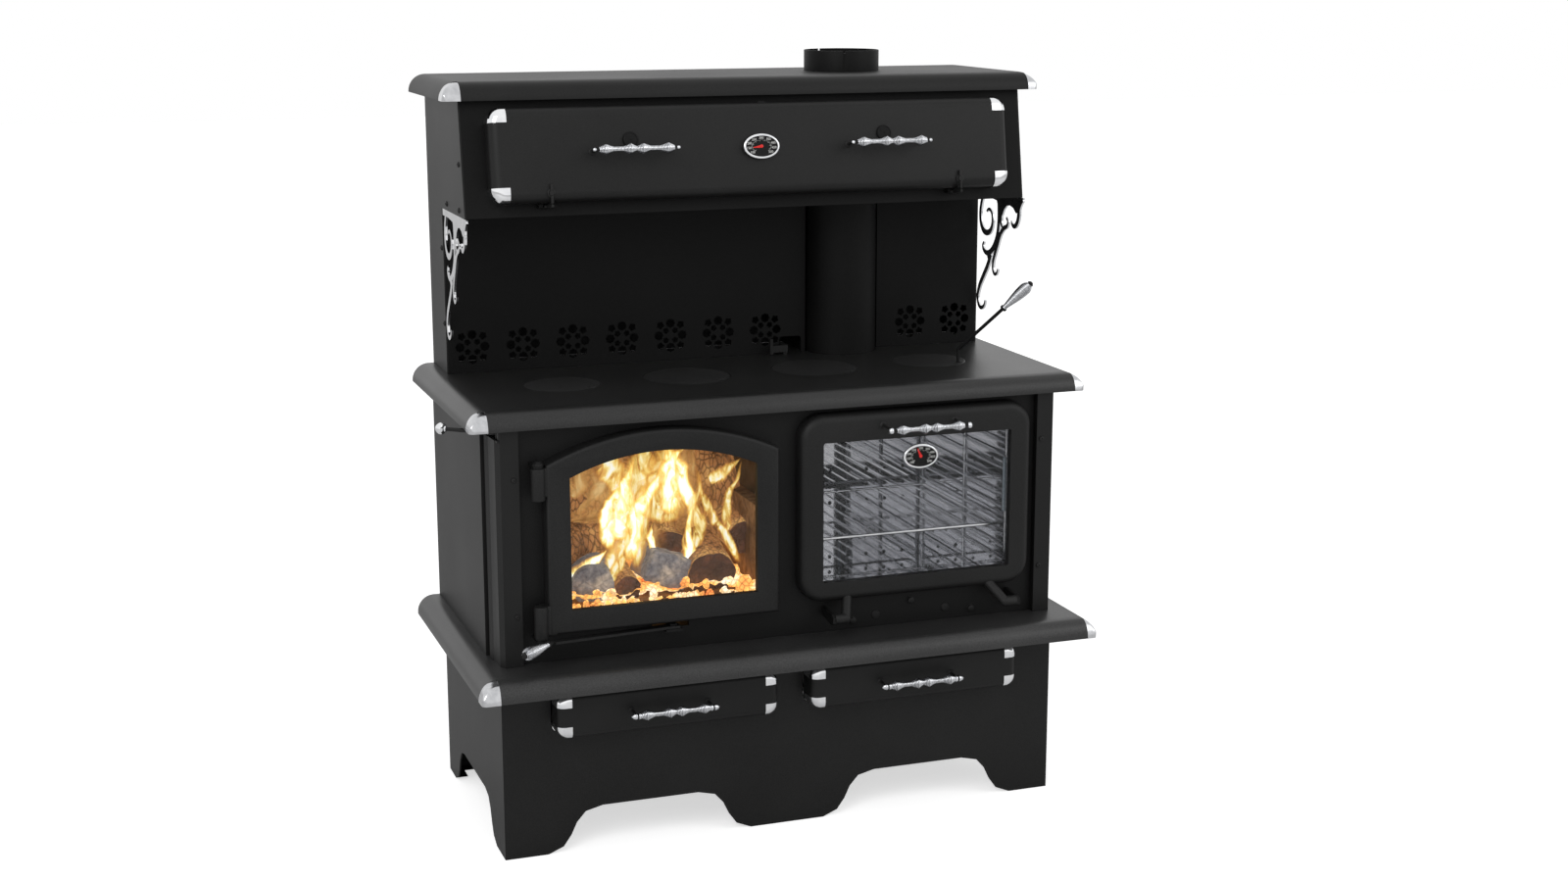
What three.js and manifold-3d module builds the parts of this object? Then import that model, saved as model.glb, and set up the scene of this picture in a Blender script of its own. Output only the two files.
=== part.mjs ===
// Wood cookstove with a glazed firebox, a glazed oven and a warming closet, in millimetres, +Z up.
// Built with x = 0 on the stove's middle plane, y = 0 on its back and z = 0 on the floor, the front
// towards -Y. The last lines shift the whole stove so that its origin is at the middle of its foot.
import * as THREE from 'three';
import { mergeVertices } from 'three/addons/utils/BufferGeometryUtils.js';
import Module from 'manifold-3d';

const wasm = await Module();
wasm.setup();

// ---------------------------------------------------------------- driving dimensions
const seat = 0.3;                  // clearance left where two pieces rest on or against each other
const sheet = 3;                   // sheet steel of the casing

// body between shelf and cooktop; the widths of all else follow it
const bodyHalf = 569;
const bodyFront = 515;
const sideWall = 6.7;              // hemmed side panel
const sideFrontEdge = 440;
const postInset = 51;              // from the body's side in to the corner post's inner edge
const postFlangeInset = 17;
const postStripInset = 7;
const postSideInset = 3;
const postFront = 530;
const coveBack = 462;
const postStripBack = 425;
const postInner = bodyHalf - postInset;
const postFlange = bodyHalf - postFlangeInset;
const postStrip = bodyHalf - postStripInset;
const postSide = bodyHalf - postSideInset;

// three slabs with a rounded nosing on their front and ends
const nosing = 33;                 // width of the rounded edge
const cornerRound = 8;             // plan radius of the slabs' front corners
const slabPlate = 8;               // thickness of the plate between the edges
const shelfOver = 46;              // reach of the shelf beyond the body's side
const shelfFront = 621;
const shelfTop = 377;
const shelfDrop = 38;
const cookOver = 40;
const cookFront = 549;
const cookTop = 858.5;
const cookDrop = 35;
const capOver = 31.5;              // reach of the closet's top beyond the upper sides
const capOut = 10;                 // its front edge stands this far behind the closet's lower edge
const capDrop = 34;
const capProud = 1.4;              // chrome corner pieces stand this far off the painted edge
const shelfHalf = bodyHalf + shelfOver;
const cookHalf = bodyHalf + cookOver;

// plinth under the shelf
const plinthInset = 8;             // from the body's side in to the plinth's side
const plinthFront = 523;
const plinthBack = 8;
const footHeight = 85;             // height of the scallops between the feet
const outerFoot = 83;              // width of a foot at the corners
const middleFoot = 75;             // half width of the middle foot
const scallopRun = 107;            // width of the S curve beside a foot
const sideFootFront = 73;
const sideFootBack = 60;
const sideRun = 95;
const footFlange = 24;             // bent-in flange that a foot stands on
const plinthHalf = bodyHalf - plinthInset;

// drawers
const drawerMid = 249.7;           // middle of a drawer from the middle of the stove
const drawerWide = 432;
const drawerFromTop = 51;          // from the shelf's top down to a drawer front
const drawerTall = 87;
const drawerProud = 47;            // reach of a drawer front from the plinth
const drawerRoll = 15;             // rounding of a drawer front's edge
const drawerFrontWall = 6;
const drawerDeep = 454;
const drawerWall = 2.5;
const runnerWide = 16;
const runnerHigh = 14;
const runnerWall = 4;
const drawerHigh = shelfTop - drawerFromTop;
const drawerLow = drawerHigh - drawerTall;

// fire door
const fireMargin = 45;             // from the corner post to the fire door
const doorsFromMid = 25;           // from the stove's middle plane to the fire door
const fireUp = 60;                 // from the shelf to the fire door
const fireTopGap = 15.5;           // from the fire door's crown to the cooktop's edge
const fireRise = 52;
const fireRim = 44;
const doorBack = 516.5;
const fireFace = 550;
const glassThick = 4;
const hingeOut = 545;              // y of the fire door's hinge line
const hingeBeside = 14;            // from the fire door's edge to its hinge line
const pinR = 4;
const barrelR = 13;
const fireHalf = (postInner - fireMargin - doorsFromMid) / 2;
const fireMid = -doorsFromMid - fireHalf;
const fireLow = shelfTop + fireUp;
const fireShoulder = cookTop - cookDrop - fireTopGap - fireRise;
const hingeSide = fireHalf - fireMid + hingeBeside;

// firebox
const boxLeft = fireHalf - fireMid + 5;
const boxRight = doorsFromMid - 3;
const boxBack = 60;
const hearth = fireLow + 9;        // top of the firebox floor plate
const boxPlate = 5;
const brick = 28;
const brickHigh = 190;
const grateLong = 240;
const grateWide = 150;
const grateRim = 10;

// oven door and oven
const ovenMargin = 19;             // from the oven door to the corner post, and to the middle plane
const ovenUp = 67;                 // from the shelf to the oven door
const ovenTopGap = 12.5;           // from the oven door to the cooktop's edge
const ovenCorner = 48;
const paneSideRim = 45;            // width of the oven door's frame beside its window
const paneLowRim = 40;
const paneHighRim = 54;
const ovenFace = 548;
const ovenPivotOut = 566;
const ovenPivotBelow = 28;         // from the oven door's lower edge down to its hinge line
const earFromLeft = 58;            // from the oven door's left edge to its left hinge ear
const earFromRight = 34;
const linerInset = 25;             // from the oven door's edge in to the oven's side
const linerBack = 70;
const linerLowInset = 26;
const linerHighInset = 35;
const linerPlate = 3;
const guideBars = 5;
const guidePitch = 50;
const guideBar = 5;
const rackGuide = 1;               // the rack lies on this guide bar, counted from 0 at the bottom
const rackPlay = 15;               // how far the rack can come forward with the door shut
const ovenHalf = postInner / 2 - ovenMargin;
const ovenMid = postInner / 2;
const ovenLow = shelfTop + ovenUp;
const ovenHigh = cookTop - cookDrop - ovenTopGap;
const paneHalf = ovenHalf - paneSideRim;
const paneLow = ovenLow + paneLowRim;
const paneHigh = ovenHigh - paneHighRim;
const ovenPivotUp = ovenLow - ovenPivotBelow;
const ovenEarLeft = ovenMid - ovenHalf + earFromLeft;
const ovenEarRight = ovenMid + ovenHalf - earFromRight;
const linerLeft = ovenMid - ovenHalf + linerInset;
const linerRight = ovenMid + ovenHalf - linerInset;
const linerLow = ovenLow + linerLowInset;
const linerHigh = ovenHigh - linerHighInset;

// cooktop lids
const lidSmall = 73;
const lidLarge = 84.5;
const lidOuterX = 380;
const lidInnerX = 132;
const lidOut = 315;
const lidDeep = 6;

// splash back and warming closet
const upperInset = 4;              // from the body's side in to the upper side
const splashOut = 137;
const splashHigh = 324.5;          // from the cooktop up to the closet
const closetHigh = 247.5;          // from the closet's lower edge to its top
const closetOut = 347;             // front of the closet at its lower edge
const closetLean = Math.atan(34 / 210);
const closetDoorInset = 46;        // from the upper side to the closet door's edge
const closetDoorLow = 23;          // along the leaning front, from the closet's lower edge
const closetDoorHigh = 198;
const closetDoorThick = 42;
const closetDoorRoll = 18;
const rosettePitch = 101;
const rosetteInset = 51;           // from the upper side to the middle of the first rosette
const rosetteFromTop = 50.5;       // from the cooktop to the middle of the rosettes
const rosetteRing = 24.6;          // middle of a rosette to its large openings
const rosetteCornerRing = 30.5;    // and to the small ones between them
const upperHalf = bodyHalf - upperInset;
const closetLow = cookTop + splashHigh;
const capTop = closetLow + closetHigh;
const capHalf = upperHalf + capOver;
const capFront = closetOut - capOut;
const closetDoorHalf = upperHalf - closetDoorInset;
const rosetteEdge = upperHalf - rosetteInset;
const rosetteUp = cookTop + rosetteFromTop;

// flue
const flueX = 258;
const flueOut = 131;
const flueR = 73;
const flueWall = 3;
const flueGap = 6;                 // from the pipe to the splash panel on each side of it
const collarR = 75.5;
const collarHigh = 40.5;           // height of the collar's rim over the closet's top
const collarTop = capTop + collarHigh;
const splashEdgeLeft = flueX - flueR - flueGap;
const splashEdgeRight = flueX + flueR + flueGap;

// handles
const drawerHandleOut = 34;        // reach of a handle's rod from the face that it is fixed to
const ovenHandleOut = 54;
const closetHandleOut = 41;
const drawerHandle = 168;
const doorHandle = 160;
const rodR = 3.6;
const wireR = 1.5;
const handleCurls = 10;
const gripCurls = 7;
const gripLong = 72;

// levers
const airBeside = 18;              // from the fire door's middle to the air lever's pivot
const airBelow = 12;               // from the fire door's lower edge down to the lever
const airKneeInset = 15;           // from the hinge line to the lever's knee
const airGripTurn = 0.72;          // turn of the grip out from the lever's bar, in radians
const sideKnobBeyond = 68;         // from the body's side out to the side lever's knob
const sideKnobOut = 421;
const knobR = 11;
const sideLeverBelow = 46.5;       // from the cooktop down to the side lever
const sidePivotInset = 24;
const sidePivotOut = 505;
const airPivotX = fireMid + airBeside;
const airUp = fireLow - airBelow;
const airKnee = airKneeInset - hingeSide;
const sideKnobX = bodyHalf + sideKnobBeyond;
const sideLeverUp = cookTop - sideLeverBelow;
const sidePivotX = bodyHalf - sidePivotInset;

// ---------------------------------------------------------------- solids
function toSolid(geometry) {
  const bare = geometry.clone();
  bare.deleteAttribute('normal');
  bare.deleteAttribute('uv');
  const merged = mergeVertices(bare, 1e-4);
  return new wasm.Manifold(new wasm.Mesh({
    numProp: 3,
    vertProperties: new Float32Array(merged.attributes.position.array),
    triVerts: new Uint32Array(merged.index.array),
  }));
}

function toGeometry(solid) {
  const cut = solid.getMesh();
  const geometry = new THREE.BufferGeometry();
  geometry.setAttribute('position', new THREE.BufferAttribute(new Float32Array(cut.vertProperties), 3));
  geometry.setIndex(new THREE.BufferAttribute(new Uint32Array(cut.triVerts), 1));
  geometry.computeVertexNormals();
  return geometry;
}

const union = (first, ...rest) => rest.reduce((sum, next) => sum.add(next), first);
const minus = (first, ...rest) => rest.reduce((sum, next) => sum.subtract(next), first);

function block(x0, x1, y0, y1, z0, z1) {
  const geometry = new THREE.BoxGeometry(x1 - x0, y1 - y0, z1 - z0);
  geometry.translate((x0 + x1) / 2, (y0 + y1) / 2, (z0 + z1) / 2);
  return toSolid(geometry);
}

const cutReach = 4 * bodyHalf;     // larger than the stove, for a cut that takes all beyond a plane

// a flat outline drawn in x and z, from y = -out to y = -out + depth
function frontPlate(outline, out, depth, bevel = 0, steps = 3, curve = 8) {
  const geometry = new THREE.ExtrudeGeometry(outline, {
    depth: depth - bevel, curveSegments: curve, bevelEnabled: bevel > 0,
    bevelThickness: bevel, bevelSize: bevel, bevelOffset: -bevel, bevelSegments: steps,
  });
  geometry.rotateX(Math.PI / 2);
  geometry.translate(0, -out + depth, 0);
  if (bevel === 0) return toSolid(geometry);
  const far = cutReach;
  return toSolid(geometry).subtract(block(-far, far, -out + depth, -out + depth + far, -far, far));
}

// a flat outline drawn in y and z, from x = low to x = low + depth
function sidePlate(outline, low, depth, curve = 8) {
  const geometry = new THREE.ExtrudeGeometry(outline, { depth, curveSegments: curve, bevelEnabled: false });
  geometry.rotateZ(Math.PI / 2);
  geometry.rotateY(Math.PI / 2);
  geometry.translate(low, 0, 0);
  return toSolid(geometry);
}

// a flat outline drawn in x and y, from z = low to z = high
function flatPlate(outline, low, high, curve = 8) {
  const geometry = new THREE.ExtrudeGeometry(outline, {
    depth: high - low, curveSegments: curve, bevelEnabled: false,
  });
  geometry.translate(0, 0, low);
  return toSolid(geometry);
}

function roundedRect(x0, x1, y0, y1, r) {
  const shape = new THREE.Shape();
  shape.moveTo(x0 + r, y0);
  shape.lineTo(x1 - r, y0);
  shape.absarc(x1 - r, y0 + r, r, -Math.PI / 2, 0);
  shape.lineTo(x1, y1 - r);
  shape.absarc(x1 - r, y1 - r, r, 0, Math.PI / 2);
  shape.lineTo(x0 + r, y1);
  shape.absarc(x0 + r, y1 - r, r, Math.PI / 2, Math.PI);
  shape.lineTo(x0, y0 + r);
  shape.absarc(x0 + r, y0 + r, r, Math.PI, Math.PI * 1.5);
  return shape;
}

const polygon = (points) => new THREE.Shape(points.map(([a, b]) => new THREE.Vector2(a, b)));

function rod(from, to, r, sides = 12, farR = r) {
  const a = new THREE.Vector3(...from);
  const b = new THREE.Vector3(...to);
  const geometry = new THREE.CylinderGeometry(farR, r, a.distanceTo(b), sides);
  geometry.applyQuaternion(new THREE.Quaternion().setFromUnitVectors(
    new THREE.Vector3(0, 1, 0), b.clone().sub(a).normalize()));
  geometry.translate(...a.add(b).multiplyScalar(0.5).toArray());
  return toSolid(geometry);
}

// a turned piece: profile points are [radius, height along the axis], from the point `at` along `along`
function turned(profile, at, along, sides = 16) {
  const geometry = new THREE.LatheGeometry(profile.map(([r, h]) => new THREE.Vector2(r, h)), sides);
  geometry.applyQuaternion(new THREE.Quaternion().setFromUnitVectors(
    new THREE.Vector3(0, 1, 0), new THREE.Vector3(...along).normalize()));
  geometry.translate(...at);
  return toSolid(geometry);
}

// ---------------------------------------------------------------- materials
function paint(colour, roughness, metalness) {
  return () => new THREE.MeshStandardMaterial({ color: colour, roughness, metalness });
}
const blackPaint = paint(0x171717, 0.55, 0.2);
const castBlack = paint(0x1c1c1c, 0.7, 0.3);
const castTop = paint(0x202020, 0.4, 0.35);
const chrome = paint(0xd8d8d8, 0.12, 1.0);
const stainless = paint(0x9a9a9c, 0.3, 0.9);
const firebrick = paint(0xc8a77c, 0.9, 0);
const steel = paint(0x6c6a68, 0.5, 0.8);

function clearGlass() {
  return new THREE.MeshStandardMaterial({
    color: 0xdfe7e4, roughness: 0.05, metalness: 0, transparent: true, opacity: 0.25,
  });
}

const stove = new THREE.Group();

function place(name, solid, material, parent = stove) {
  const geometry = solid.isBufferGeometry ? solid : toGeometry(solid);
  const mesh = new THREE.Mesh(geometry, material());
  mesh.name = name;
  parent.add(mesh);
  return mesh;
}

// ---------------------------------------------------------------- slabs
// points of a quarter-round edge, rising from [0, 0] inwards to [nosing, drop]
function quarter(drop, grow) {
  const steps = 4;
  const points = [];
  for (let i = 0; i <= steps; i += 1) {
    const a = (Math.PI / 2) * i / steps;
    points.push([(nosing + grow) * (1 - Math.cos(a)), (drop + grow) * Math.sin(a)]);
  }
  return points;
}

// slab with a quarter-round on its front and both ends, which meet on a mitre at the corners
function slabForm(half, front, top, drop, grow = 0) {
  const low = top - drop;
  const h = half + grow;
  const f = front + grow;
  const edge = quarter(drop, grow);
  const across = polygon([
    ...edge.map(([a, z]) => [-h + a, low + z]),
    ...edge.map(([a, z]) => [h - a, low + z]).reverse(),
  ]);
  const along = polygon([[0, low], ...edge.map(([a, z]) => [-f + a, low + z]), [0, top + grow]]);
  const plan = flatPlate(roundedRect(-h, h, -f, nosing, cornerRound + grow), low - 1, top + grow + 1, 2);
  return frontPlate(across, f + 1, f + 1).intersect(sidePlate(along, -h - 1, 2 * h + 2)).intersect(plan);
}

function slab(half, front, top, drop, pocketHalf, pocketFront) {
  const pocket = block(-pocketHalf, pocketHalf, -pocketFront, 1, top - drop - 1, top - slabPlate);
  return minus(cappedSlab(half, front, top, drop), pocket);
}

// the slab with its two front corner pieces, which stand a little proud of the painted edge
function cappedSlab(half, front, top, drop) {
  const grown = slabForm(half, front, top, drop, capProud);
  const corners = [-1, 1].map((side) => {
    const inner = side * (half - nosing);
    const outer = side * (half + 2 * nosing);
    return block(Math.min(inner, outer), Math.max(inner, outer),
      -front - nosing, -front + nosing, top - drop, top);
  });
  return slabForm(half, front, top, drop).add(grown.intersect(union(...corners)));
}

const lids = [
  { name: 'lid_left_outer', x: -lidOuterX, r: lidSmall },
  { name: 'lid_left_inner', x: -lidInnerX, r: lidLarge },
  { name: 'lid_right_inner', x: lidInnerX, r: lidLarge },
  { name: 'lid_right_outer', x: lidOuterX, r: lidSmall },
];
const lidLedge = 6;                // width of the step that carries a lid
const slotTurn = Math.PI / 4;      // the lifter's slot lies towards the stove's front right
const slotIn = 11;                 // distance of the slot's middle from the lid's edge
const slotLong = 14;
const slotWide = 8;
const slotDeep = 4;

const upright = (x, y, r, low, high, sides = 20) => turned([[0, 0], [r, 0], [r, high - low], [0, high - low]],
  [x, y, low], [0, 0, 1], sides);

function buildSlabs() {
  const shelf = slab(shelfHalf, shelfFront, shelfTop, shelfDrop, plinthHalf + 2, plinthFront + 2);
  const ashHole = block(fireMid - grateLong / 2, fireMid + grateLong / 2, -bodyFront / 2 - grateWide / 2,
    -bodyFront / 2 + grateWide / 2, shelfTop - shelfDrop, shelfTop + 1);
  place('shelf', minus(shelf, ashHole), castBlack);

  let cooktop = slab(cookHalf, cookFront, cookTop, cookDrop, bodyHalf + 2, postFront + 4);
  for (const lid of lids) {
    cooktop = cooktop.subtract(upright(lid.x, -lidOut, lid.r + seat, cookTop - lidDeep, cookTop + 1));
    cooktop = cooktop.subtract(upright(lid.x, -lidOut, lid.r - lidLedge, cookTop - slabPlate - 1, cookTop));
  }
  cooktop = cooktop.subtract(upright(flueX, -flueOut, flueR - flueWall, cookTop - slabPlate - 1, cookTop + 1));
  place('cooktop', cooktop, castTop);

  let top = slab(capHalf, capFront, capTop, capDrop, upperHalf + 2, closetOut - 28);
  top = top.subtract(upright(flueX, -flueOut, flueR + 1, capTop - slabPlate - 1, capTop + 1));
  place('closet_top', top, blackPaint);
}

// ---------------------------------------------------------------- plinth and drawers
// opening between two feet: [x of the first foot's end, x of the second], with an S curve at each
function scallop(from, to, runFrom, runTo, high) {
  const shape = new THREE.Shape();
  shape.moveTo(from, -1);
  shape.lineTo(from, 0);
  shape.bezierCurveTo(from + runFrom * 0.62, high * 0.1, from + runFrom * 0.3, high, from + runFrom, high);
  shape.lineTo(to - runTo, high);
  shape.bezierCurveTo(to - runTo * 0.3, high, to - runTo * 0.62, high * 0.1, to, 0);
  shape.lineTo(to, -1);
  return shape;
}

const plinthTop = shelfTop - slabPlate - seat;
const plinthMid = (plinthFront + plinthBack) / 2;
const drawerGap = 2.5;             // running gap round a drawer front

function drawerOpening(x) {
  const half = drawerWide / 2 + drawerGap;
  return frontPlate(roundedRect(x - half, x + half, drawerLow - drawerGap, drawerHigh + drawerGap, 24),
    plinthFront + 1, sheet + 2, 0, 0, 3);
}

function buildPlinth() {
  let plinth = minus(
    block(-plinthHalf, plinthHalf, -plinthFront, -plinthBack, 0, plinthTop),
    block(-plinthHalf + sheet, plinthHalf - sheet, -plinthFront + sheet, -plinthBack - sheet, sheet, plinthTop + 1),
    block(-plinthHalf + footFlange, plinthHalf - footFlange, -plinthFront + footFlange,
      -plinthBack - footFlange, -1, sheet + 1));
  for (const side of [-1, 1]) {
    const ends = [side * middleFoot, side * (plinthHalf - outerFoot)].sort((a, b) => a - b);
    plinth = plinth.subtract(frontPlate(scallop(ends[0], ends[1], scallopRun, scallopRun, footHeight),
      plinthFront + 1, plinthFront - plinthBack + 2, 0, 0, 5));
    plinth = plinth.subtract(drawerOpening(side * drawerMid));
  }
  plinth = plinth.subtract(sidePlate(scallop(-plinthFront + sideFootFront, -plinthBack - sideFootBack,
    sideRun, sideRun, footHeight), -plinthHalf - 1, 2 * plinthHalf + 2, 5));
  place('plinth', plinth, blackPaint);

  const boxHalf = drawerWide / 2 - 20;
  const runnerTop = drawerLow + 4 - seat;
  const front = -plinthFront + sheet + seat;
  const back = -plinthBack - sheet - seat;
  for (const [name, side] of [['ash_drawer_runners', -1], ['storage_drawer_runners', 1]]) {
    const mid = side * drawerMid;
    const outer = boxHalf + 1 + runnerWall;
    const tray = minus(
      block(mid - outer, mid + outer, front, back, runnerTop - runnerHigh, runnerTop + runnerHigh),
      block(mid - boxHalf - 1, mid + boxHalf + 1, front - 1, back + 1, runnerTop, runnerTop + 2 * runnerHigh),
      block(mid - boxHalf + runnerWide, mid + boxHalf - runnerWide, front - 1, back - runnerWide,
        runnerTop - 2 * runnerHigh, runnerTop + 1));
    place(name, tray, steel);
  }
}

const capSteps = 2;                // facets across a corner piece's bevel and round its corner
const capCurve = 2;

// four corner pieces of a pressed panel, a little proud of it; its outline is given in x and z
function cornerCaps(x0, x1, z0, z1, r, out, thick, bevel, wide, high) {
  const shell = frontPlate(roundedRect(x0 - capProud, x1 + capProud, z0 - capProud, z1 + capProud, r + capProud),
    out + capProud, thick, bevel + capProud, capSteps, capCurve);
  const corners = [];
  for (const [a, b] of [[x0 - 5, x0 + wide], [x1 - wide, x1 + 5]]) {
    for (const [c, d] of [[z0 - 5, z0 + high], [z1 - high, z1 + 5]]) {
      corners.push(block(a, b, -out - 10, -out + thick, c, d));
    }
  }
  return shell.intersect(union(...corners));
}

// ---------------------------------------------------------------- wound handles
const tau = Math.PI * 2;

// closed tube of `sides` corners along a list of points, its frame carried along without twist
function windTube(points, r, sides) {
  const position = [];
  const index = [];
  const tangent = (i) => points[Math.min(i + 1, points.length - 1)].clone()
    .sub(points[Math.max(i - 1, 0)]).normalize();
  let across = new THREE.Vector3(0, 0, 1).cross(tangent(0)).normalize();
  points.forEach((point, i) => {
    const t = tangent(i);
    across = across.clone().addScaledVector(t, -across.dot(t)).normalize();
    const up = t.clone().cross(across);
    for (let k = 0; k < sides; k += 1) {
      const a = tau * k / sides;
      position.push(...point.clone().addScaledVector(across, r * Math.cos(a))
        .addScaledVector(up, r * Math.sin(a)).toArray());
    }
  });
  for (let i = 0; i < points.length - 1; i += 1) {
    for (let k = 0; k < sides; k += 1) {
      const a = i * sides + k;
      const b = i * sides + (k + 1) % sides;
      index.push(a, b, a + sides, b, b + sides, a + sides);
    }
  }
  const last = (points.length - 1) * sides;
  for (let k = 1; k < sides - 1; k += 1) {
    index.push(0, k + 1, k);
    index.push(last, last + k, last + k + 1);
  }
  const geometry = new THREE.BufferGeometry();
  geometry.setAttribute('position', new THREE.Float32BufferAttribute(position, 3));
  geometry.setIndex(index);
  geometry.computeVertexNormals();
  return geometry;
}

// points of a winding along +X from 0 to `long`: straight for a wire's width at each end
function windingPoints(long, curls, radiusAt) {
  const lead = 2 * wireR;
  const points = [new THREE.Vector3(0, radiusAt(0), 0)];
  const steps = curls * 8;
  for (let i = 0; i <= steps; i += 1) {
    const t = i / steps;
    const x = lead + t * (long - 2 * lead);
    const a = tau * i / 8;
    points.push(new THREE.Vector3(x, radiusAt(t) * Math.cos(a), radiusAt(t) * Math.sin(a)));
  }
  points.push(new THREE.Vector3(long, radiusAt(1), 0));
  return points;
}

// least clear distance between two turns of one winding, measured on its points
function leastGap(points) {
  let least = Infinity;
  for (let i = 0; i < points.length; i += 1) {
    for (let j = i + 6; j < points.length; j += 1) {
      least = Math.min(least, points[i].distanceTo(points[j]) - 2 * wireR);
    }
  }
  return least;
}

const windingGaps = [];
function winding(long, curls, radiusAt) {
  const points = windingPoints(long, curls, radiusAt);
  windingGaps.push(leastGap(points));
  return windTube(points, wireR, 5);
}

const swell = (t, at, wide) => Math.exp(-(((t - at) / wide) ** 2));
const slimR = rodR + wireR + 0.8;  // smallest radius of a winding round its rod
const fullR = 11;
const barRadius = (t) => slimR + (fullR - wireR - slimR)
  * Math.min(1, swell(t, 0.075, 0.07) + 0.8 * swell(t, 0.415, 0.055) + 0.8 * swell(t, 0.59, 0.055)
    + swell(t, 0.925, 0.07));
const gripRadius = (t) => slimR + (fullR - wireR - slimR) * Math.sin(Math.PI * 0.5 * Math.min(1, t * 1.25))
  * (t < 0.8 ? 1 : Math.cos((t - 0.8) / 0.2 * Math.PI * 0.38));

// rod, two posts and two finials; `y` is the rod's line, `face` the panel that the posts stand on
function handleBar(x, y, z, long, face) {
  const postX = long / 2 - 12;
  const finial = [[0, 0], [3.2, 0], [5, 3], [4.4, 7], [0, 9]];
  const pieces = [rod([x - postX, y, z], [x + postX, y, z], rodR, 6)];
  for (const side of [-1, 1]) {
    pieces.push(rod([x + side * postX, face, z], [x + side * postX, y - 5, z], 4.2, 6));
    pieces.push(rod([x + side * postX, face, z], [x + side * postX, face - 4, z], 7, 7));
    pieces.push(turned(finial, [x + side * (postX + 3), y, z], [side, 0, 0], 6));
  }
  return union(...pieces);
}

function handleCoil(x, y, z, long) {
  const wound = long - 2 * (12 + 4.2 + seat);
  const geometry = winding(wound, handleCurls, barRadius);
  geometry.translate(x - wound / 2, y, z);
  return geometry;
}

// winding from a point along a direction, its wide end outwards
function gripCoil(from, along) {
  const geometry = winding(gripLong, gripCurls, gripRadius);
  geometry.applyQuaternion(new THREE.Quaternion().setFromUnitVectors(
    new THREE.Vector3(1, 0, 0), new THREE.Vector3(...along).normalize()));
  geometry.translate(...from);
  return geometry;
}

function buildDrawer(name, side) {
  const x = side * drawerMid;
  const half = drawerWide / 2;
  const face = plinthFront + drawerProud;
  const thick = drawerProud + sheet - 1;
  const boxHalf = half - 20;
  const boxTop = drawerHigh - 14;
  const boxBackY = -face + drawerDeep;
  const front = frontPlate(roundedRect(x - half, x + half, drawerLow, drawerHigh, 22), face, thick, drawerRoll,
    capSteps, capCurve);
  const box = block(x - boxHalf, x + boxHalf, -face + thick - 1, boxBackY, drawerLow + 4, boxTop);
  // the hollow of the box runs on into the thick front
  const hollow = block(x - boxHalf + drawerWall, x + boxHalf - drawerWall, -face + drawerFrontWall,
    boxBackY - drawerWall, drawerLow + 4 + drawerWall, boxTop + 1);
  const caps = cornerCaps(x - half, x + half, drawerLow, drawerHigh, 22, face, thick, drawerRoll, 28, 24);
  place(name, minus(union(front, caps, box), hollow), blackPaint);
  const z = (drawerLow + drawerHigh) / 2;
  const y = -face - drawerHandleOut;
  place(`${name}_handle`, handleBar(x, y, z, drawerHandle, -face - seat), steel);
  place(`${name}_handle_coil`, handleCoil(x, y, z, drawerHandle), chrome);
}

// ---------------------------------------------------------------- body casing
const bodyTop = cookTop - slabPlate - seat;
const bodyLow = shelfTop + seat;

// outline of a bent sheet: the points of its outer face, offset inwards by its thickness
function bentSheet(points, thick) {
  const path = points.map(([a, b]) => new THREE.Vector2(a, b));
  const inner = path.map((point, i) => {
    const before = path[Math.max(i - 1, 0)];
    const after = path[Math.min(i + 1, path.length - 1)];
    const d1 = (i === 0 ? after.clone().sub(point) : point.clone().sub(before)).normalize();
    const d2 = (i === path.length - 1 ? point.clone().sub(before) : after.clone().sub(point)).normalize();
    const n1 = new THREE.Vector2(-d1.y, d1.x);
    const n2 = new THREE.Vector2(-d2.y, d2.x);
    const n = n1.clone().add(n2).normalize();
    return point.clone().addScaledVector(n, thick / n.dot(n1));
  });
  return new THREE.Shape([...path, ...inner.reverse()]);
}

// corner post, bent from sheet: flange, cove and the strip that the side panel laps
function postOutline() {
  const deep = postSide - 6;
  return bentSheet([
    [postInner, -bodyFront + 1], [postInner, -postFront], [postFlange, -postFront],
    [deep - 1, -postFront + 14], [deep, -postFront + 34], [deep + 1.5, -coveBack - 14],
    [postSide, -coveBack], [postStrip, -coveBack + 1], [postStrip, -postStripBack],
  ], sheet);
}

const fireArc = (half, rise) => (half * half + rise * rise) / (2 * rise);

// arched opening or door outline, drawn in x and z
function arched(mid, half, low, shoulder, rise) {
  const r = fireArc(half, rise);
  const sweep = Math.asin(half / r);
  const shape = new THREE.Shape();
  shape.moveTo(mid - half, low);
  shape.lineTo(mid + half, low);
  shape.lineTo(mid + half, shoulder);
  shape.absarc(mid, shoulder + rise - r, r, Math.PI / 2 - sweep, Math.PI / 2 + sweep);
  return shape;
}

const airSlot = { low: airUp - 6, high: airUp + 6, half: 36 };

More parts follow.
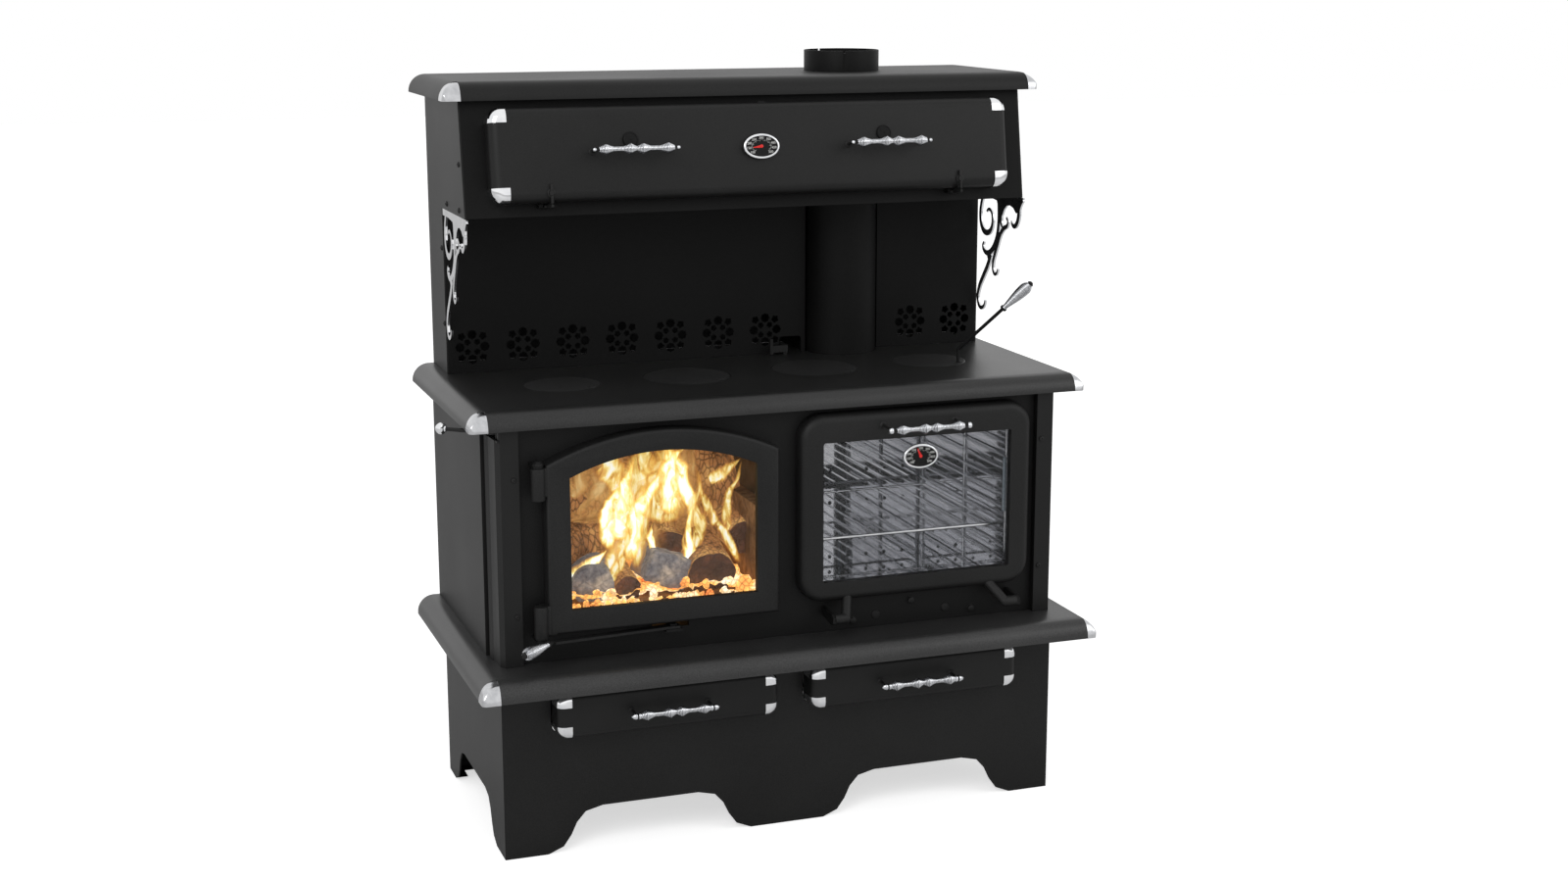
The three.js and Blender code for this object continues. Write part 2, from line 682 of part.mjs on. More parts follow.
function buildBody() {
  for (const side of [-1, 1]) {
    const x0 = side > 0 ? bodyHalf - sideWall : -bodyHalf;
    place(side < 0 ? 'side_panel_left' : 'side_panel_right',
      block(x0, x0 + sideWall, -sideFrontEdge, -sheet - seat, bodyLow, bodyTop), blackPaint);
  }
  place('back_panel', block(-bodyHalf, bodyHalf, -sheet, 0, bodyLow, bodyTop), blackPaint);

  let front = block(-postInner + seat, postInner - seat, -bodyFront, -bodyFront + 4, bodyLow, bodyTop);
  front = minus(front,
    frontPlate(arched(fireMid, fireHalf - 22, fireLow + 22, fireShoulder - 18, fireRise - 6),
      bodyFront + 1, 6, 0, 0, 8),
    block(linerLeft + linerPlate, linerRight - linerPlate, -bodyFront - 1, -bodyFront + 5,
      linerLow + linerPlate, linerHigh - linerPlate),
    block(airPivotX - airSlot.half, airPivotX + airSlot.half, -bodyFront - 1, -bodyFront + 5,
      airSlot.low, airSlot.high));
  place('front_panel', union(front, ...hingeBrackets()), castBlack);

  const right = flatPlate(postOutline(), bodyLow, bodyTop, 4);
  let left = right.mirror([1, 0, 0]);
  const shelfLow = sideLeverUp - 8;
  left = left.subtract(block(-bodyHalf - 5, -postFlange - 2, -postFront + 4, -coveBack - 6,
    sideLeverUp - 9, sideLeverUp + 9));
  const ledge = block(-postSide + 9, -postInner - sheet / 2, -postFront + sheet / 2, -coveBack - 10,
    shelfLow - 4, shelfLow);
  const pin = upright(-sidePivotX, -sidePivotOut, pinR, shelfLow - 1, sideLeverUp + 8, 16);
  const collar = upright(-sidePivotX, -sidePivotOut, 9, shelfLow - 1, sideLeverUp - 4 - seat, 16);
  left = union(left, ledge, pin, collar);
  place('corner_post_left', left, blackPaint);
  place('corner_post_right', right, blackPaint);
}

// ---------------------------------------------------------------- firebox
const frontBack = -bodyFront + 4 + seat;   // y just behind the front panel

function buildFirebox() {
  const outer = block(-boxLeft, -boxRight, frontBack, -boxBack, bodyLow, bodyTop);
  const inside = block(-boxLeft + boxPlate, -boxRight - boxPlate, frontBack - 1, -boxBack - boxPlate,
    hearth, bodyTop + 1);
  const under = block(-boxLeft + boxPlate, -boxRight - boxPlate, frontBack - 1, -boxBack - boxPlate,
    bodyLow - 1, hearth - boxPlate);
  const smokeWay = block(-boxRight - boxPlate - 1, -boxRight + 1, frontBack - 1, -boxBack + 1,
    linerHigh + 8, bodyTop + 1);
  const lintel = block(-boxLeft + 1, -boxRight - 1, frontBack, frontBack + 12, bodyTop - 24, bodyTop);
  const grateHole = block(fireMid - grateLong / 2, fireMid + grateLong / 2, -bodyFront / 2 - grateWide / 2,
    -bodyFront / 2 + grateWide / 2, hearth - boxPlate - 1, hearth + 1);
  place('firebox_shell', union(minus(outer, inside, under, smokeWay, grateHole), lintel), steel);

  const x0 = -boxLeft + boxPlate + seat;
  const x1 = -boxRight - boxPlate - seat;
  const y1 = -boxBack - boxPlate - seat;
  const y0 = frontBack + 1;
  const low = hearth + seat;
  const high = low + brickHigh;
  const grateBack = -bodyFront / 2 + grateWide / 2;
  const grateFront = -bodyFront / 2 - grateWide / 2;
  const grateX0 = fireMid - grateLong / 2;
  const grateX1 = fireMid + grateLong / 2;
  const rim = grateRim + seat;
  const lining = minus(
    block(x0, x1, y0, y1, low, high),
    block(x0 + brick, x1 - brick, y0 - 1, y1 - brick, low + brick, high + 1),
    block(grateX0 - rim, grateX1 + rim, grateFront - rim, grateBack + rim, low - 1, low + brick + 1));
  place('firebricks', lining, firebrick);

  let grate = block(grateX0 - grateRim, grateX1 + grateRim, grateFront - grateRim, grateBack + grateRim,
    low, low + 14);
  grate = grate.add(block(grateX0 + 2, grateX1 - 2, grateFront + 2, grateBack - 2, low - 5, low + 1));
  const slots = 7;
  const pitch = grateLong / slots;
  for (let i = 0; i < slots; i += 1) {
    const a = grateX0 + i * pitch + 9;
    grate = grate.subtract(block(a, a + pitch - 16, grateFront + 12, grateBack - 12, low - 6, low + 15));
  }
  place('fire_grate', grate, castBlack);
}

// ---------------------------------------------------------------- oven
const paneRebate = 9;
const rackFront = doorBack - rackPlay - 2;
const rackDeep = 400;

function buildOven() {
  const outer = block(linerLeft, linerRight, frontBack, -linerBack, linerLow, linerHigh);
  const inside = block(linerLeft + linerPlate, linerRight - linerPlate, frontBack - 1,
    -linerBack - linerPlate, linerLow + linerPlate, linerHigh - linerPlate);
  const feet = [];
  for (const x of [linerLeft, linerRight - 12]) {
    feet.push(block(x, x + 12, frontBack, -linerBack, bodyLow, linerLow + 1));
  }
  place('oven_liner', union(minus(outer, inside), ...feet), stainless);

  const low = linerLow + linerPlate + 18;
  const backEnd = -linerBack - linerPlate - 12;
  for (const [name, side] of [['rack_guide_left', -1], ['rack_guide_right', 1]]) {
    const bars = [];
    const wall = side < 0 ? linerLeft + linerPlate + seat : linerRight - linerPlate - seat;
    const a = side < 0 ? wall : wall - guideBar;
    for (let i = 0; i < guideBars; i += 1) {
      const z = low + i * guidePitch;
      bars.push(block(a - (side > 0 ? 9 : 0), a + guideBar + (side < 0 ? 9 : 0), -rackFront, backEnd, z, z + guideBar));
    }
    for (const y of [-rackFront, -rackFront + rackDeep / 2, backEnd - guideBar]) {
      bars.push(block(a, a + guideBar, y, y + guideBar, linerLow + linerPlate + seat,
        low + guideBars * guidePitch));
    }
    place(name, union(...bars), chrome);
  }

  const z = low + rackGuide * guidePitch + guideBar + seat + 3;
  const x0 = linerLeft + linerPlate + seat + 7;
  const x1 = linerRight - linerPlate - seat - 7;
  const y0 = -rackFront + 4;
  const y1 = y0 + rackDeep - 14;
  const wires = [
    block(x0, x1, y0 - 3, y0 + 3, z - 3, z + 3), block(x0, x1, y1 - 3, y1 + 3, z - 3, z + 3),
    block(x0, x0 + 5, y0, y1, z - 3, z + 2), block(x1 - 5, x1, y0, y1, z - 3, z + 2),
  ];
  const count = 12;
  for (let i = 1; i <= count; i += 1) {
    const x = x0 + (x1 - x0) * i / (count + 1);
    wires.push(block(x - 2, x + 2, y0, y1, z - 2, z + 2));
  }
  place('oven_rack', union(...wires), chrome);
}

// ---------------------------------------------------------------- doors
function buildFireDoor() {
  const inner = fireRim - 22;
  const frame = frontPlate(arched(fireMid, fireHalf, fireLow, fireShoulder, fireRise), fireFace,
    fireFace - doorBack, 5, 1, 8);
  const window = arched(fireMid, fireHalf - fireRim, fireLow + fireRim, fireShoulder - 26, fireRise - 13);
  const rebate = arched(fireMid, fireHalf - inner - 8, fireLow + inner + 8, fireShoulder - 18, fireRise - 9);
  const glassOut = fireFace - 14;  // front of the glass
  let door = minus(frame, frontPlate(window, fireFace + 1, 60, 0, 0, 8),
    frontPlate(rebate, glassOut, 60, 0, 0, 8));
  const hingeX = -hingeSide;
  for (const [low, high] of fireBarrels) {
    const knuckle = union(
      upright(hingeX, -hingeOut, barrelR, low, high, 14),
      block(hingeX, hingeX + barrelR + 6, -hingeOut - 4, -doorBack - 8, low + 6, high));
    door = union(door, knuckle);
  }
  door = minus(door, upright(hingeX, -hingeOut, pinR + seat, fireLow - 10, fireLow + 60, 10),
    upright(hingeX, -hingeOut, pinR + seat, fireShoulder - 70, fireShoulder, 10));
  place('fire_door_frame', door, castBlack);
  const pane = arched(fireMid, fireHalf - inner - 8.6, fireLow + inner + 8.6, fireShoulder - 18.4, fireRise - 9.2);
  place('fire_door_glass', frontPlate(pane, glassOut - seat, glassThick, 0, 0, 8), clearGlass);
}

function buildOvenDoor() {
  const frame = frontPlate(roundedRect(ovenMid - ovenHalf, ovenMid + ovenHalf, ovenLow, ovenHigh, ovenCorner),
    ovenFace, ovenFace - doorBack, 12, 2, 4);
  const glassOut = ovenFace - 16;
  const paneBox = (more, out, deep) => block(ovenMid - paneHalf - more, ovenMid + paneHalf + more,
    -out, -out + deep, paneLow - more, paneHigh + more);
  const door = minus(frame, paneBox(0, ovenFace + 1, 60), paneBox(paneRebate, glassOut, 60));
  place('oven_door_glass', paneBox(paneRebate - 0.5, glassOut - seat, glassThick), clearGlass);

  // cranked arms from the door's lower edge down to the hinge line, with a barrel on each
  const arms = [];
  for (const [ear, foot, side] of [[ovenEarLeft, ovenEarLeft + 41, 1], [ovenEarRight, ovenEarRight - 55, -1]]) {
    const barrelEnd = ear + side * (3 + seat);
    const elbow = ear + side * 30;
    arms.push(rod([barrelEnd, -ovenPivotOut, ovenPivotUp], [elbow, -ovenPivotOut, ovenPivotUp], 9, 10));
    arms.push(rod([elbow - side * 4, -ovenPivotOut, ovenPivotUp], [foot, -ovenFace + 15, ovenLow + 12], 8, 8));
  }
  const bores = rod([ovenMid - ovenHalf, -ovenPivotOut, ovenPivotUp],
    [ovenMid + ovenHalf, -ovenPivotOut, ovenPivotUp], pinR + seat, 12);
  place('oven_door_frame', union(door, ...arms).subtract(bores), castBlack);

  const z = (paneHigh + ovenHigh) / 2;
  const y = -ovenFace - ovenHandleOut;
  place('oven_handle', handleBar(ovenMid, y, z, doorHandle, -ovenFace - seat), steel);
  place('oven_handle_coil', handleCoil(ovenMid, y, z, doorHandle), chrome);
}

// oval dial: body, bezel and stem; `back` is the face that the stem's flange rests on
const dialHalfX = 38;
const dialHalfZ = 26.5;
const dialThick = 9;

function oval(halfX, halfZ, x, z) {
  const shape = new THREE.Shape();
  shape.absellipse(x, z, halfX, halfZ, 0, tau);
  return shape;
}

function dial(x, z, out, back) {
  const body = frontPlate(oval(dialHalfX, dialHalfZ, x, z), out, dialThick, 2.5, 1, 9);
  const well = frontPlate(oval(dialHalfX - 5, dialHalfZ - 5, x, z), out + 1, 4, 0, 0, 9);
  const stem = rod([x, -out + dialThick - 1, z], [x, back, z], 5, 8);
  const flange = rod([x, back - 4, z], [x, back, z], 14, 12);
  const axle = rod([x, -out + 4, z], [x, -out + 1.4, z], 1.2, 8);
  return union(body.subtract(well), stem, flange, axle);
}

function pointer(x, z, out, angle) {
  const long = dialHalfZ - 9;
  const needle = polygon([[-2.4, -5], [2.4, -5], [1, long], [-1, long]]);
  const arm = frontPlate(needle, 0, 0.8);
  const hub = rod([0, 0.8, 0], [0, 0, 0], 3.6, 12);
  const hole = rod([0, 2, 0], [0, -2, 0], 1.5, 10);
  const geometry = toGeometry(minus(union(arm, hub), hole));
  geometry.rotateY(angle);
  geometry.translate(x, -out + 1.9, z);
  return geometry;
}

const ovenDialOut = ovenFace + 18;
const ovenDialUp = paneHigh - 35;
const ovenDialX = ovenMid - 3;

function buildOvenDial() {
  const back = 16 - ovenFace;
  place('oven_thermometer', dial(ovenDialX, ovenDialUp, ovenDialOut, back), chrome);
  place('oven_thermometer_pointer', pointer(ovenDialX, ovenDialUp, ovenDialOut, -0.2), castBlack);
}

// ---------------------------------------------------------------- hinge brackets on the body
// barrels of the fire door, from its top end: [low, high]
const fireBarrels = [[fireShoulder - 64, fireShoulder - 4], [fireLow - 6, fireLow + 56]];

// lugs, pins and ears cast on the front panel
function hingeBrackets() {
  const face = -bodyFront + 1;
  const hingeX = -hingeSide;
  const parts = [];
  const [upper, lower] = fireBarrels;
  const lugs = [[upper[1] + seat, upper[1] + 6, upper[1] - 40], [lower[0] - 5, lower[0] - seat, lower[0] + 40]];
  for (const [low, high, pinEnd] of lugs) {
    parts.push(union(
      block(hingeX - 10, hingeX + 10, -hingeOut, face, low, high),
      upright(hingeX, -hingeOut, 10, low, high, 12),
      upright(hingeX, -hingeOut, pinR, Math.min(low, pinEnd), Math.max(high, pinEnd), 10)));
  }
  parts.push(turned([[0, 0], [11, 0], [10, 4], [6, 8], [0, 9]],
    [hingeX, -hingeOut, upper[1] + 6 - 0.5], [0, 0, 1], 10));

  for (const [ear, side] of [[ovenEarLeft, 1], [ovenEarRight, -1]]) {
    const outline = polygon([[face, ovenPivotUp + 13], [-ovenPivotOut, ovenPivotUp + 10],
      [-ovenPivotOut - 9, ovenPivotUp + 5], [-ovenPivotOut - 9, ovenPivotUp - 6], [-ovenPivotOut - 4, ovenPivotUp - 10],
      [-ovenPivotOut + 6, ovenPivotUp - 10], [face, ovenPivotUp - 4]]);
    parts.push(union(sidePlate(outline, ear - 3, 6),
      rod([ear, -ovenPivotOut, ovenPivotUp], [ear + side * 30, -ovenPivotOut, ovenPivotUp], pinR, 10)));
  }

  const airPlate = block(airPivotX - 16, airPivotX + 16, -bodyFront - 26, face, airUp - 8, airUp - 3);
  const airBolt = upright(airPivotX, -bodyFront - 15, pinR, airUp - 4, airUp + 4, 10);
  const airHead = upright(airPivotX, -bodyFront - 15, 7.5, airUp + 2 + seat, airUp + 6, 6);
  parts.push(union(airPlate, airBolt, airHead));
  return parts;
}

// ---------------------------------------------------------------- warming closet
const upperLow = cookTop + seat;
const upperTop = capTop - slabPlate - seat;
const leanAt = (z) => -closetOut + (z - closetLow) * Math.tan(closetLean);   // y of the leaning front
const closetOpening = { half: closetDoorHalf - 19, low: closetDoorLow + 15, high: closetDoorHigh - 16 };
const closetFrontWall = 3;

function buildUpper() {
  const outline = polygon([[0, upperLow], [0, upperTop], [leanAt(upperTop), upperTop],
    [leanAt(closetLow), closetLow], [-splashOut, closetLow], [-splashOut, upperLow]]);
  place('upper_side_left', sidePlate(outline, -upperHalf, sheet), blackPaint);
  place('upper_side_right', sidePlate(outline, upperHalf - sheet, sheet), blackPaint);
  const inHalf = upperHalf - sheet - seat;
  place('upper_back', block(-inHalf, inHalf, -sheet, 0, upperLow, upperTop), blackPaint);

  // closet box: floor and leaning front bent from one sheet
  const frontOutline = polygon([[leanAt(closetLow), closetLow], [leanAt(upperTop), upperTop],
    [leanAt(upperTop) + closetFrontWall, upperTop], [leanAt(closetLow) + closetFrontWall, closetLow]]);
  const floor = block(-inHalf, inHalf, leanAt(closetLow) + 0.5, -sheet - seat, closetLow, closetLow + sheet);
  const c = Math.cos(closetLean);
  const hole = block(-closetOpening.half, closetOpening.half, -closetOut - 10, -closetOut + 60,
    closetLow + closetOpening.low * c, closetLow + closetOpening.high * c);
  const pipeHole = upright(flueX, -flueOut, flueR + 1, closetLow - 1, closetLow + sheet + 1);
  const shell = minus(union(sidePlate(frontOutline, -inHalf, 2 * inHalf), floor), hole, pipeHole);
  place('closet_shell', union(shell, closetHingeBlocks()), blackPaint);

  const pipe = turned([
    [flueR - flueWall, 0], [flueR, 0], [flueR, capTop + seat - upperLow], [collarR, capTop + seat - upperLow],
    [collarR, collarTop - upperLow], [collarR - flueWall, collarTop - upperLow],
    [collarR - flueWall, capTop + 6 - upperLow], [flueR - flueWall, capTop + 6 - upperLow], [flueR - flueWall, 0],
  ], [flueX, -flueOut, upperLow], [0, 0, 1], 28);
  place('flue_pipe', pipe, castBlack);
}

// pierced star: four large openings and four small ones between them
function rosette(x, z) {
  const holes = [];
  const at = (angle, reach, r, sides) => {
    const shape = polygon(Array.from({ length: sides }, (_, i) => {
      const a = angle + tau * i / sides;
      return [x + reach * Math.cos(angle) + r * Math.cos(a), z + reach * Math.sin(angle) + r * Math.sin(a)];
    }));
    holes.push(frontPlate(shape, splashOut + 1, sheet + 2));
  };
  for (let i = 0; i < 4; i += 1) {
    at(tau * i / 4, rosetteRing, 9, 4);
    at(tau * (i + 0.5) / 4, rosetteCornerRing, 7, 3);
  }
  return union(...holes);
}

const bypassSlot = { left: splashEdgeLeft - 57, right: splashEdgeLeft - 9, high: 34 };

function buildSplash() {
  const inHalf = upperHalf - sheet - seat;
  const high = closetLow - seat;
  const panel = (x0, x1) => block(x0, x1, -splashOut, -splashOut + sheet, upperLow, high);
  // each panel is bent back to the rear sheet at its edge beside the flue
  const wing = (x0, x1) => block(x0, x1, -splashOut + 1, -sheet - seat, upperLow, high);
  let left = union(panel(-inHalf, splashEdgeLeft), wing(splashEdgeLeft - sheet, splashEdgeLeft));
  const leftCount = Math.floor((splashEdgeLeft + inHalf) / rosettePitch);
  for (let i = 0; i < leftCount; i += 1) {
    left = left.subtract(rosette(-rosetteEdge + i * rosettePitch, rosetteUp));
  }
  const slotShape = roundedRect(bypassSlot.left, bypassSlot.right, upperLow - 20, upperLow + bypassSlot.high, 7);
  left = left.subtract(frontPlate(slotShape, splashOut + 1, sheet + 2, 0, 0, 3));
  place('splash_panel_left', left, blackPaint);
  let right = union(panel(splashEdgeRight, inHalf), wing(splashEdgeRight, splashEdgeRight + sheet));
  const rightCount = Math.floor((inHalf - splashEdgeRight) / rosettePitch);
  for (let i = 0; i < rightCount; i += 1) {
    right = right.subtract(rosette(rosetteEdge - i * rosettePitch, rosetteUp));
  }
  place('splash_panel_right', right, blackPaint);

  // bypass lever: flat bar through the slot, a finger tab in front and a damper slide behind
  const y = -splashOut;
  const z = upperLow + seat;
  const lever = union(
    block(bypassSlot.left + 2, bypassSlot.left + 10, y - 22, y + 50, z, z + 20),
    block(bypassSlot.left - 26, bypassSlot.left + 10, y - 26, y - 22, z + 6, z + 20),
    block(bypassSlot.left - 28, bypassSlot.left - 22, y - 26, y - 22, z + 2, z + 34),
    block(bypassSlot.left - 60, bypassSlot.left + 16, y + 44, y + 104, z, z + 4));
  place('bypass_lever', lever, castBlack);
}

// scroll bracket, a flat plate cut to strokes; points are [y, z]
const stroke = (points, from, to, sections) => {
  const curve = new THREE.SplineCurve(points.map(([a, b]) => new THREE.Vector2(a, b)));
  const left = [];
  const right = [];
  for (let i = 0; i <= sections; i += 1) {
    const t = i / sections;
    const p = curve.getPoint(t);
    const d = curve.getTangent(t);
    const w = (from + (to - from) * t) / 2;
    left.push(new THREE.Vector2(p.x - d.y * w, p.y + d.x * w));
    right.push(new THREE.Vector2(p.x + d.y * w, p.y - d.x * w));
  }
  return new THREE.Shape([...left, ...right.reverse()]);
};

const bracketBar = 12;             // height of the bracket's top bar

function bracketStrokes() {
  const top = closetLow - seat;
  const back = -splashOut;
  const bar = polygon([[back - 9, top], [back - 206, top], [back - 194, top - bracketBar],
    [back - 9, top - bracketBar]]);
  const web = polygon([[back - 68, top - 8], [back - 131, top - 8], [back - 110, top - 36], [back - 99, top - 84],
    [back - 91, top - 50]]);
  // points of a stroke: [distance in front of the splash back, distance below the closet]
  const scroll = (points, from, to, sections) => stroke(
    points.map(([out, down]) => [back - out, closetLow - down]), from, to, sections);
  return [bar, web,
    scroll([[23, 9], [8, 37], [5, 63], [17, 83], [41, 90], [64, 81], [75, 61],
      [69, 43], [53, 36], [39, 44]], 9, 5, 11),
    scroll([[78, 9], [98, 38], [102, 68], [96, 95], [80, 119], [57, 132], [35, 128],
      [27, 117], [32, 109]], 10, 6, 8),
    scroll([[103, 73], [85, 114], [74, 138], [72, 155], [78, 168], [88, 173], [101, 163]], 10, 5, 6),
    scroll([[73, 131], [62, 137], [48, 156], [26, 181], [7, 204], [-1, 224], [4, 238],
      [24, 249], [38, 240], [43, 231]], 10, 5, 9),
    scroll([[99, 11], [106, 51], [111, 65], [125, 70], [138, 62], [135, 46]], 10, 5, 5),
    scroll([[131, 11], [155, 17], [176, 26], [185, 37], [186, 53], [175, 62], [161, 55]], 10, 5, 6),
    scroll([[199, 7], [188, 17], [184, 33]], 12, 8, 2),
  ];
}

const bracketThick = 4;

function buildBrackets() {
  for (const side of [-1, 1]) {
    const x0 = side > 0 ? upperHalf - bracketThick : -upperHalf;
    const plates = bracketStrokes().map((shape) => sidePlate(shape, x0, bracketThick));
    const splashLap = block(-upperHalf - 1, upperHalf + 1, -splashOut - seat, 0, cookTop, closetLow);
    place(side < 0 ? 'scroll_bracket_left' : 'scroll_bracket_right', union(...plates).subtract(splashLap), chrome);
  }
}

// closet door, built flat in its own leaning group: x, outwards -y, and up the front +z
const closet = new THREE.Group();
closet.position.set(0, -closetOut, closetLow);
closet.rotation.x = -closetLean;
stove.add(closet);
const closetFace = closetDoorThick + 1;     // outer face of the door from the closet's front
const closetHingeUp = closetDoorLow - 5;
const closetHingeOut = 12;
const closetHandleX = 254;
const closetArmX = closetDoorHalf - 107;

function buildClosetDoor() {
  const outline = (less) => roundedRect(-closetDoorHalf + less, closetDoorHalf - less,
    closetDoorLow + less, closetDoorHigh - less, 26 - less * 0.5);
  const skin = frontPlate(outline(0), closetFace, closetDoorThick, closetDoorRoll, capSteps, capCurve);
  const hollow = frontPlate(outline(6), closetFace - 4, closetDoorThick, closetDoorRoll - 4, 1, 2);
  const parts = [minus(skin, hollow)];
  for (const side of [-1, 1]) {
    const x = side * closetArmX;
    const arm = sidePlate(polygon([[-closetFace + 6, closetDoorLow + 34], [-closetFace - 5, closetDoorLow + 32],
      [-closetFace - 7, closetHingeUp - 2], [-closetHingeOut + 4, closetHingeUp - 5], [-closetHingeOut + 5, closetHingeUp + 4.3],
      [-closetFace + 2, closetDoorLow + 2], [-closetFace + 6, closetDoorLow + 10]]), x - 2.5, 5);
    parts.push(union(arm, rod([x - 8, -closetHingeOut, closetHingeUp], [x + 8, -closetHingeOut, closetHingeUp], 4, 12)));
  }
  parts.push(minus(cornerCaps(-closetDoorHalf, closetDoorHalf, closetDoorLow, closetDoorHigh,
    26, closetFace, closetDoorThick, closetDoorRoll, 30, 26), hollow));

  const z = (closetDoorLow + closetDoorHigh) / 2 + 3;
  const y = -closetFace - closetHandleOut;
  for (const [name, side] of [['closet_handle_left', -1], ['closet_handle_right', 1]]) {
    place(name, handleBar(side * closetHandleX, y, z, doorHandle, -closetFace - seat), steel, closet);
    place(`${name}_coil`, handleCoil(side * closetHandleX, y, z, doorHandle), chrome, closet);
    // round button just behind the handle
    parts.push(turned([[0, 0], [15, 0], [13, 6], [0, 6.5]],
      [side * closetHandleX, -closetFace + 1, z + 19.5], [0, -1, 0], 10));
  }
  place('closet_door', union(...parts), blackPaint, closet);

  place('closet_thermometer', dial(0, z, closetFace + 11, -closetFace - seat), chrome, closet);
  place('closet_thermometer_pointer', pointer(0, z, closetFace + 11, -1.7), castBlack, closet);
}

// hinge blocks on the closet's front sheet, one each side of every barrel of the door
function closetHingeBlocks() {
  const blocks = [];
  for (const side of [-1, 1]) {
    for (const edge of [-1, 1]) {
      const x = side * closetArmX + edge * (8 + seat + 4);
      blocks.push(block(x - 4, x + 4, -closetHingeOut - 3, 1, closetHingeUp - 3, closetHingeUp + 3));
    }
  }
  closet.updateMatrix();
  return toSolid(toGeometry(union(...blocks)).applyMatrix4(closet.matrix));
}

// ---------------------------------------------------------------- lids and levers
function buildLids() {
  const slotAt = (lid) => [lid.x + (lid.r - slotIn) * Math.cos(slotTurn), -lidOut - (lid.r - slotIn) * Math.sin(slotTurn)];
  const slotBlock = (lid, grow, low, high) => {
    const geometry = new THREE.BoxGeometry(slotLong + grow, slotWide + grow, high - low);
    geometry.rotateZ(-slotTurn);
    geometry.translate(...slotAt(lid), (low + high) / 2);
    return toSolid(geometry);
  };
  for (const lid of lids) {
    const plate = upright(lid.x, -lidOut, lid.r, cookTop - lidDeep + seat, cookTop);
    place(lid.name, minus(plate, slotBlock(lid, 0, cookTop - slotDeep, cookTop + 1)), castTop);
  }
  // lid lifter standing in the slot of the outer right lid, leaning outwards
  const lid = lids[3];
  const [x, y] = slotAt(lid);
  const out = [Math.cos(slotTurn), -Math.sin(slotTurn)];
  const foot = [x, y, cookTop - slotDeep + seat];
  const knee = [x, y, cookTop + 27];
  const grip = [x + out[0] * 96, y + out[1] * 96, cookTop + 118];
  const along = new THREE.Vector3(grip[0] - knee[0], grip[1] - knee[1], grip[2] - knee[2]).normalize();
  const end = new THREE.Vector3(...grip).addScaledVector(along, gripLong + 4);
  const lifter = union(
    rod(foot, [knee[0], knee[1], knee[2] + 1], 3.7, 8), rod(knee, end.toArray(), rodR, 8),
    rod(new THREE.Vector3(...grip).addScaledVector(along, -5).toArray(),
      new THREE.Vector3(...grip).addScaledVector(along, -seat).toArray(), 7, 8),
    rod(new THREE.Vector3(...grip).addScaledVector(along, gripLong + seat).toArray(),
      end.toArray(), 7, 8, 4));
  place('lid_lifter', lifter, steel);
  place('lid_lifter_coil', gripCoil(grip, along.toArray()), chrome);
}

function buildAirLever() {
  const pivotY = -bodyFront - 15;
  const low = airUp - 3 + seat;
  const high = airUp + 2;
  const bar = flatPlate(polygon([[airPivotX + 12, pivotY - 9], [airPivotX + 12, pivotY + 9], [airPivotX - 14, pivotY + 9],
    [airKnee + 14, pivotY - 13], [airKnee, pivotY - 20], [airKnee + 8, pivotY - 30], [airPivotX - 14, pivotY - 9]]),
  low, high);
  const tail = block(airPivotX - 6, airPivotX + 6, pivotY, -bodyFront + 30, low, high);
  const hole = upright(airPivotX, pivotY, pinR + seat, low - 1, high + 1, 16);
  const mid = (low + high) / 2;
  const from = new THREE.Vector3(airKnee + 6, pivotY - 22, mid);
  const along = new THREE.Vector3(-Math.cos(airGripTurn), -Math.sin(airGripTurn), 0);
  const grip = from.clone().addScaledVector(along, 20);
  const end = grip.clone().addScaledVector(along, gripLong + 4);
  const stem = union(rod(from.toArray(), end.toArray(), rodR, 8),
    rod(grip.clone().addScaledVector(along, -5).toArray(), grip.clone().addScaledVector(along, -seat).toArray(), 7, 8),
    rod(grip.clone().addScaledVector(along, gripLong + seat).toArray(), end.toArray(), 7, 8, 4));
  place('air_lever', minus(union(bar, tail, stem), hole), castBlack);
  place('air_lever_coil', gripCoil(grip.toArray(), along.toArray()), chrome);
}

function buildSideLever() {
  const pivot = new THREE.Vector3(-sidePivotX, -sidePivotOut, sideLeverUp);
  const knob = new THREE.Vector3(-sideKnobX, -sideKnobOut, sideLeverUp);
  const along = knob.clone().sub(pivot).normalize();
  const eye = upright(pivot.x, pivot.y, 9, sideLeverUp - 4, sideLeverUp + 4, 16);
  const start = pivot.clone().addScaledVector(along, 6);
  const arm = rod(start.toArray(), knob.toArray(), 4, 10);
  const hole = upright(pivot.x, pivot.y, pinR + seat, sideLeverUp - 5, sideLeverUp + 5, 16);
  const acorn = turned([[0, -13], [5, -13], [6, -9], [10, -7], [knobR, -1], [9, 5], [4, 9], [0, 10]],
    knob.toArray(), along.toArray(), 10);
  place('side_lever', union(minus(union(eye, arm), hole), acorn), chrome);
}

// ---------------------------------------------------------------- assembly
buildPlinth();
buildDrawer('ash_drawer', -1);
buildDrawer('storage_drawer', 1);
buildSlabs();
buildBody();
buildFirebox();
buildOven();
buildFireDoor();
buildOvenDoor();
buildOvenDial();
buildUpper();
buildSplash();
buildBrackets();
buildClosetDoor();
buildLids();
buildAirLever();
buildSideLever();

console.log(`least gap between turns of a winding: ${Math.min(...windingGaps).toFixed(2)} mm`);

// origin on the floor, at the middle of the stove's width and depth
const reach = new THREE.Box3().setFromObject(stove, true);
const middle = reach.getCenter(new THREE.Vector3());
stove.position.set(-middle.x, -middle.y, 0);

const cookstove = new THREE.Group();
cookstove.add(stove);
export default cookstove;
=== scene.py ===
import math
import random

import bmesh
import bpy
from mathutils import Matrix, Vector, noise


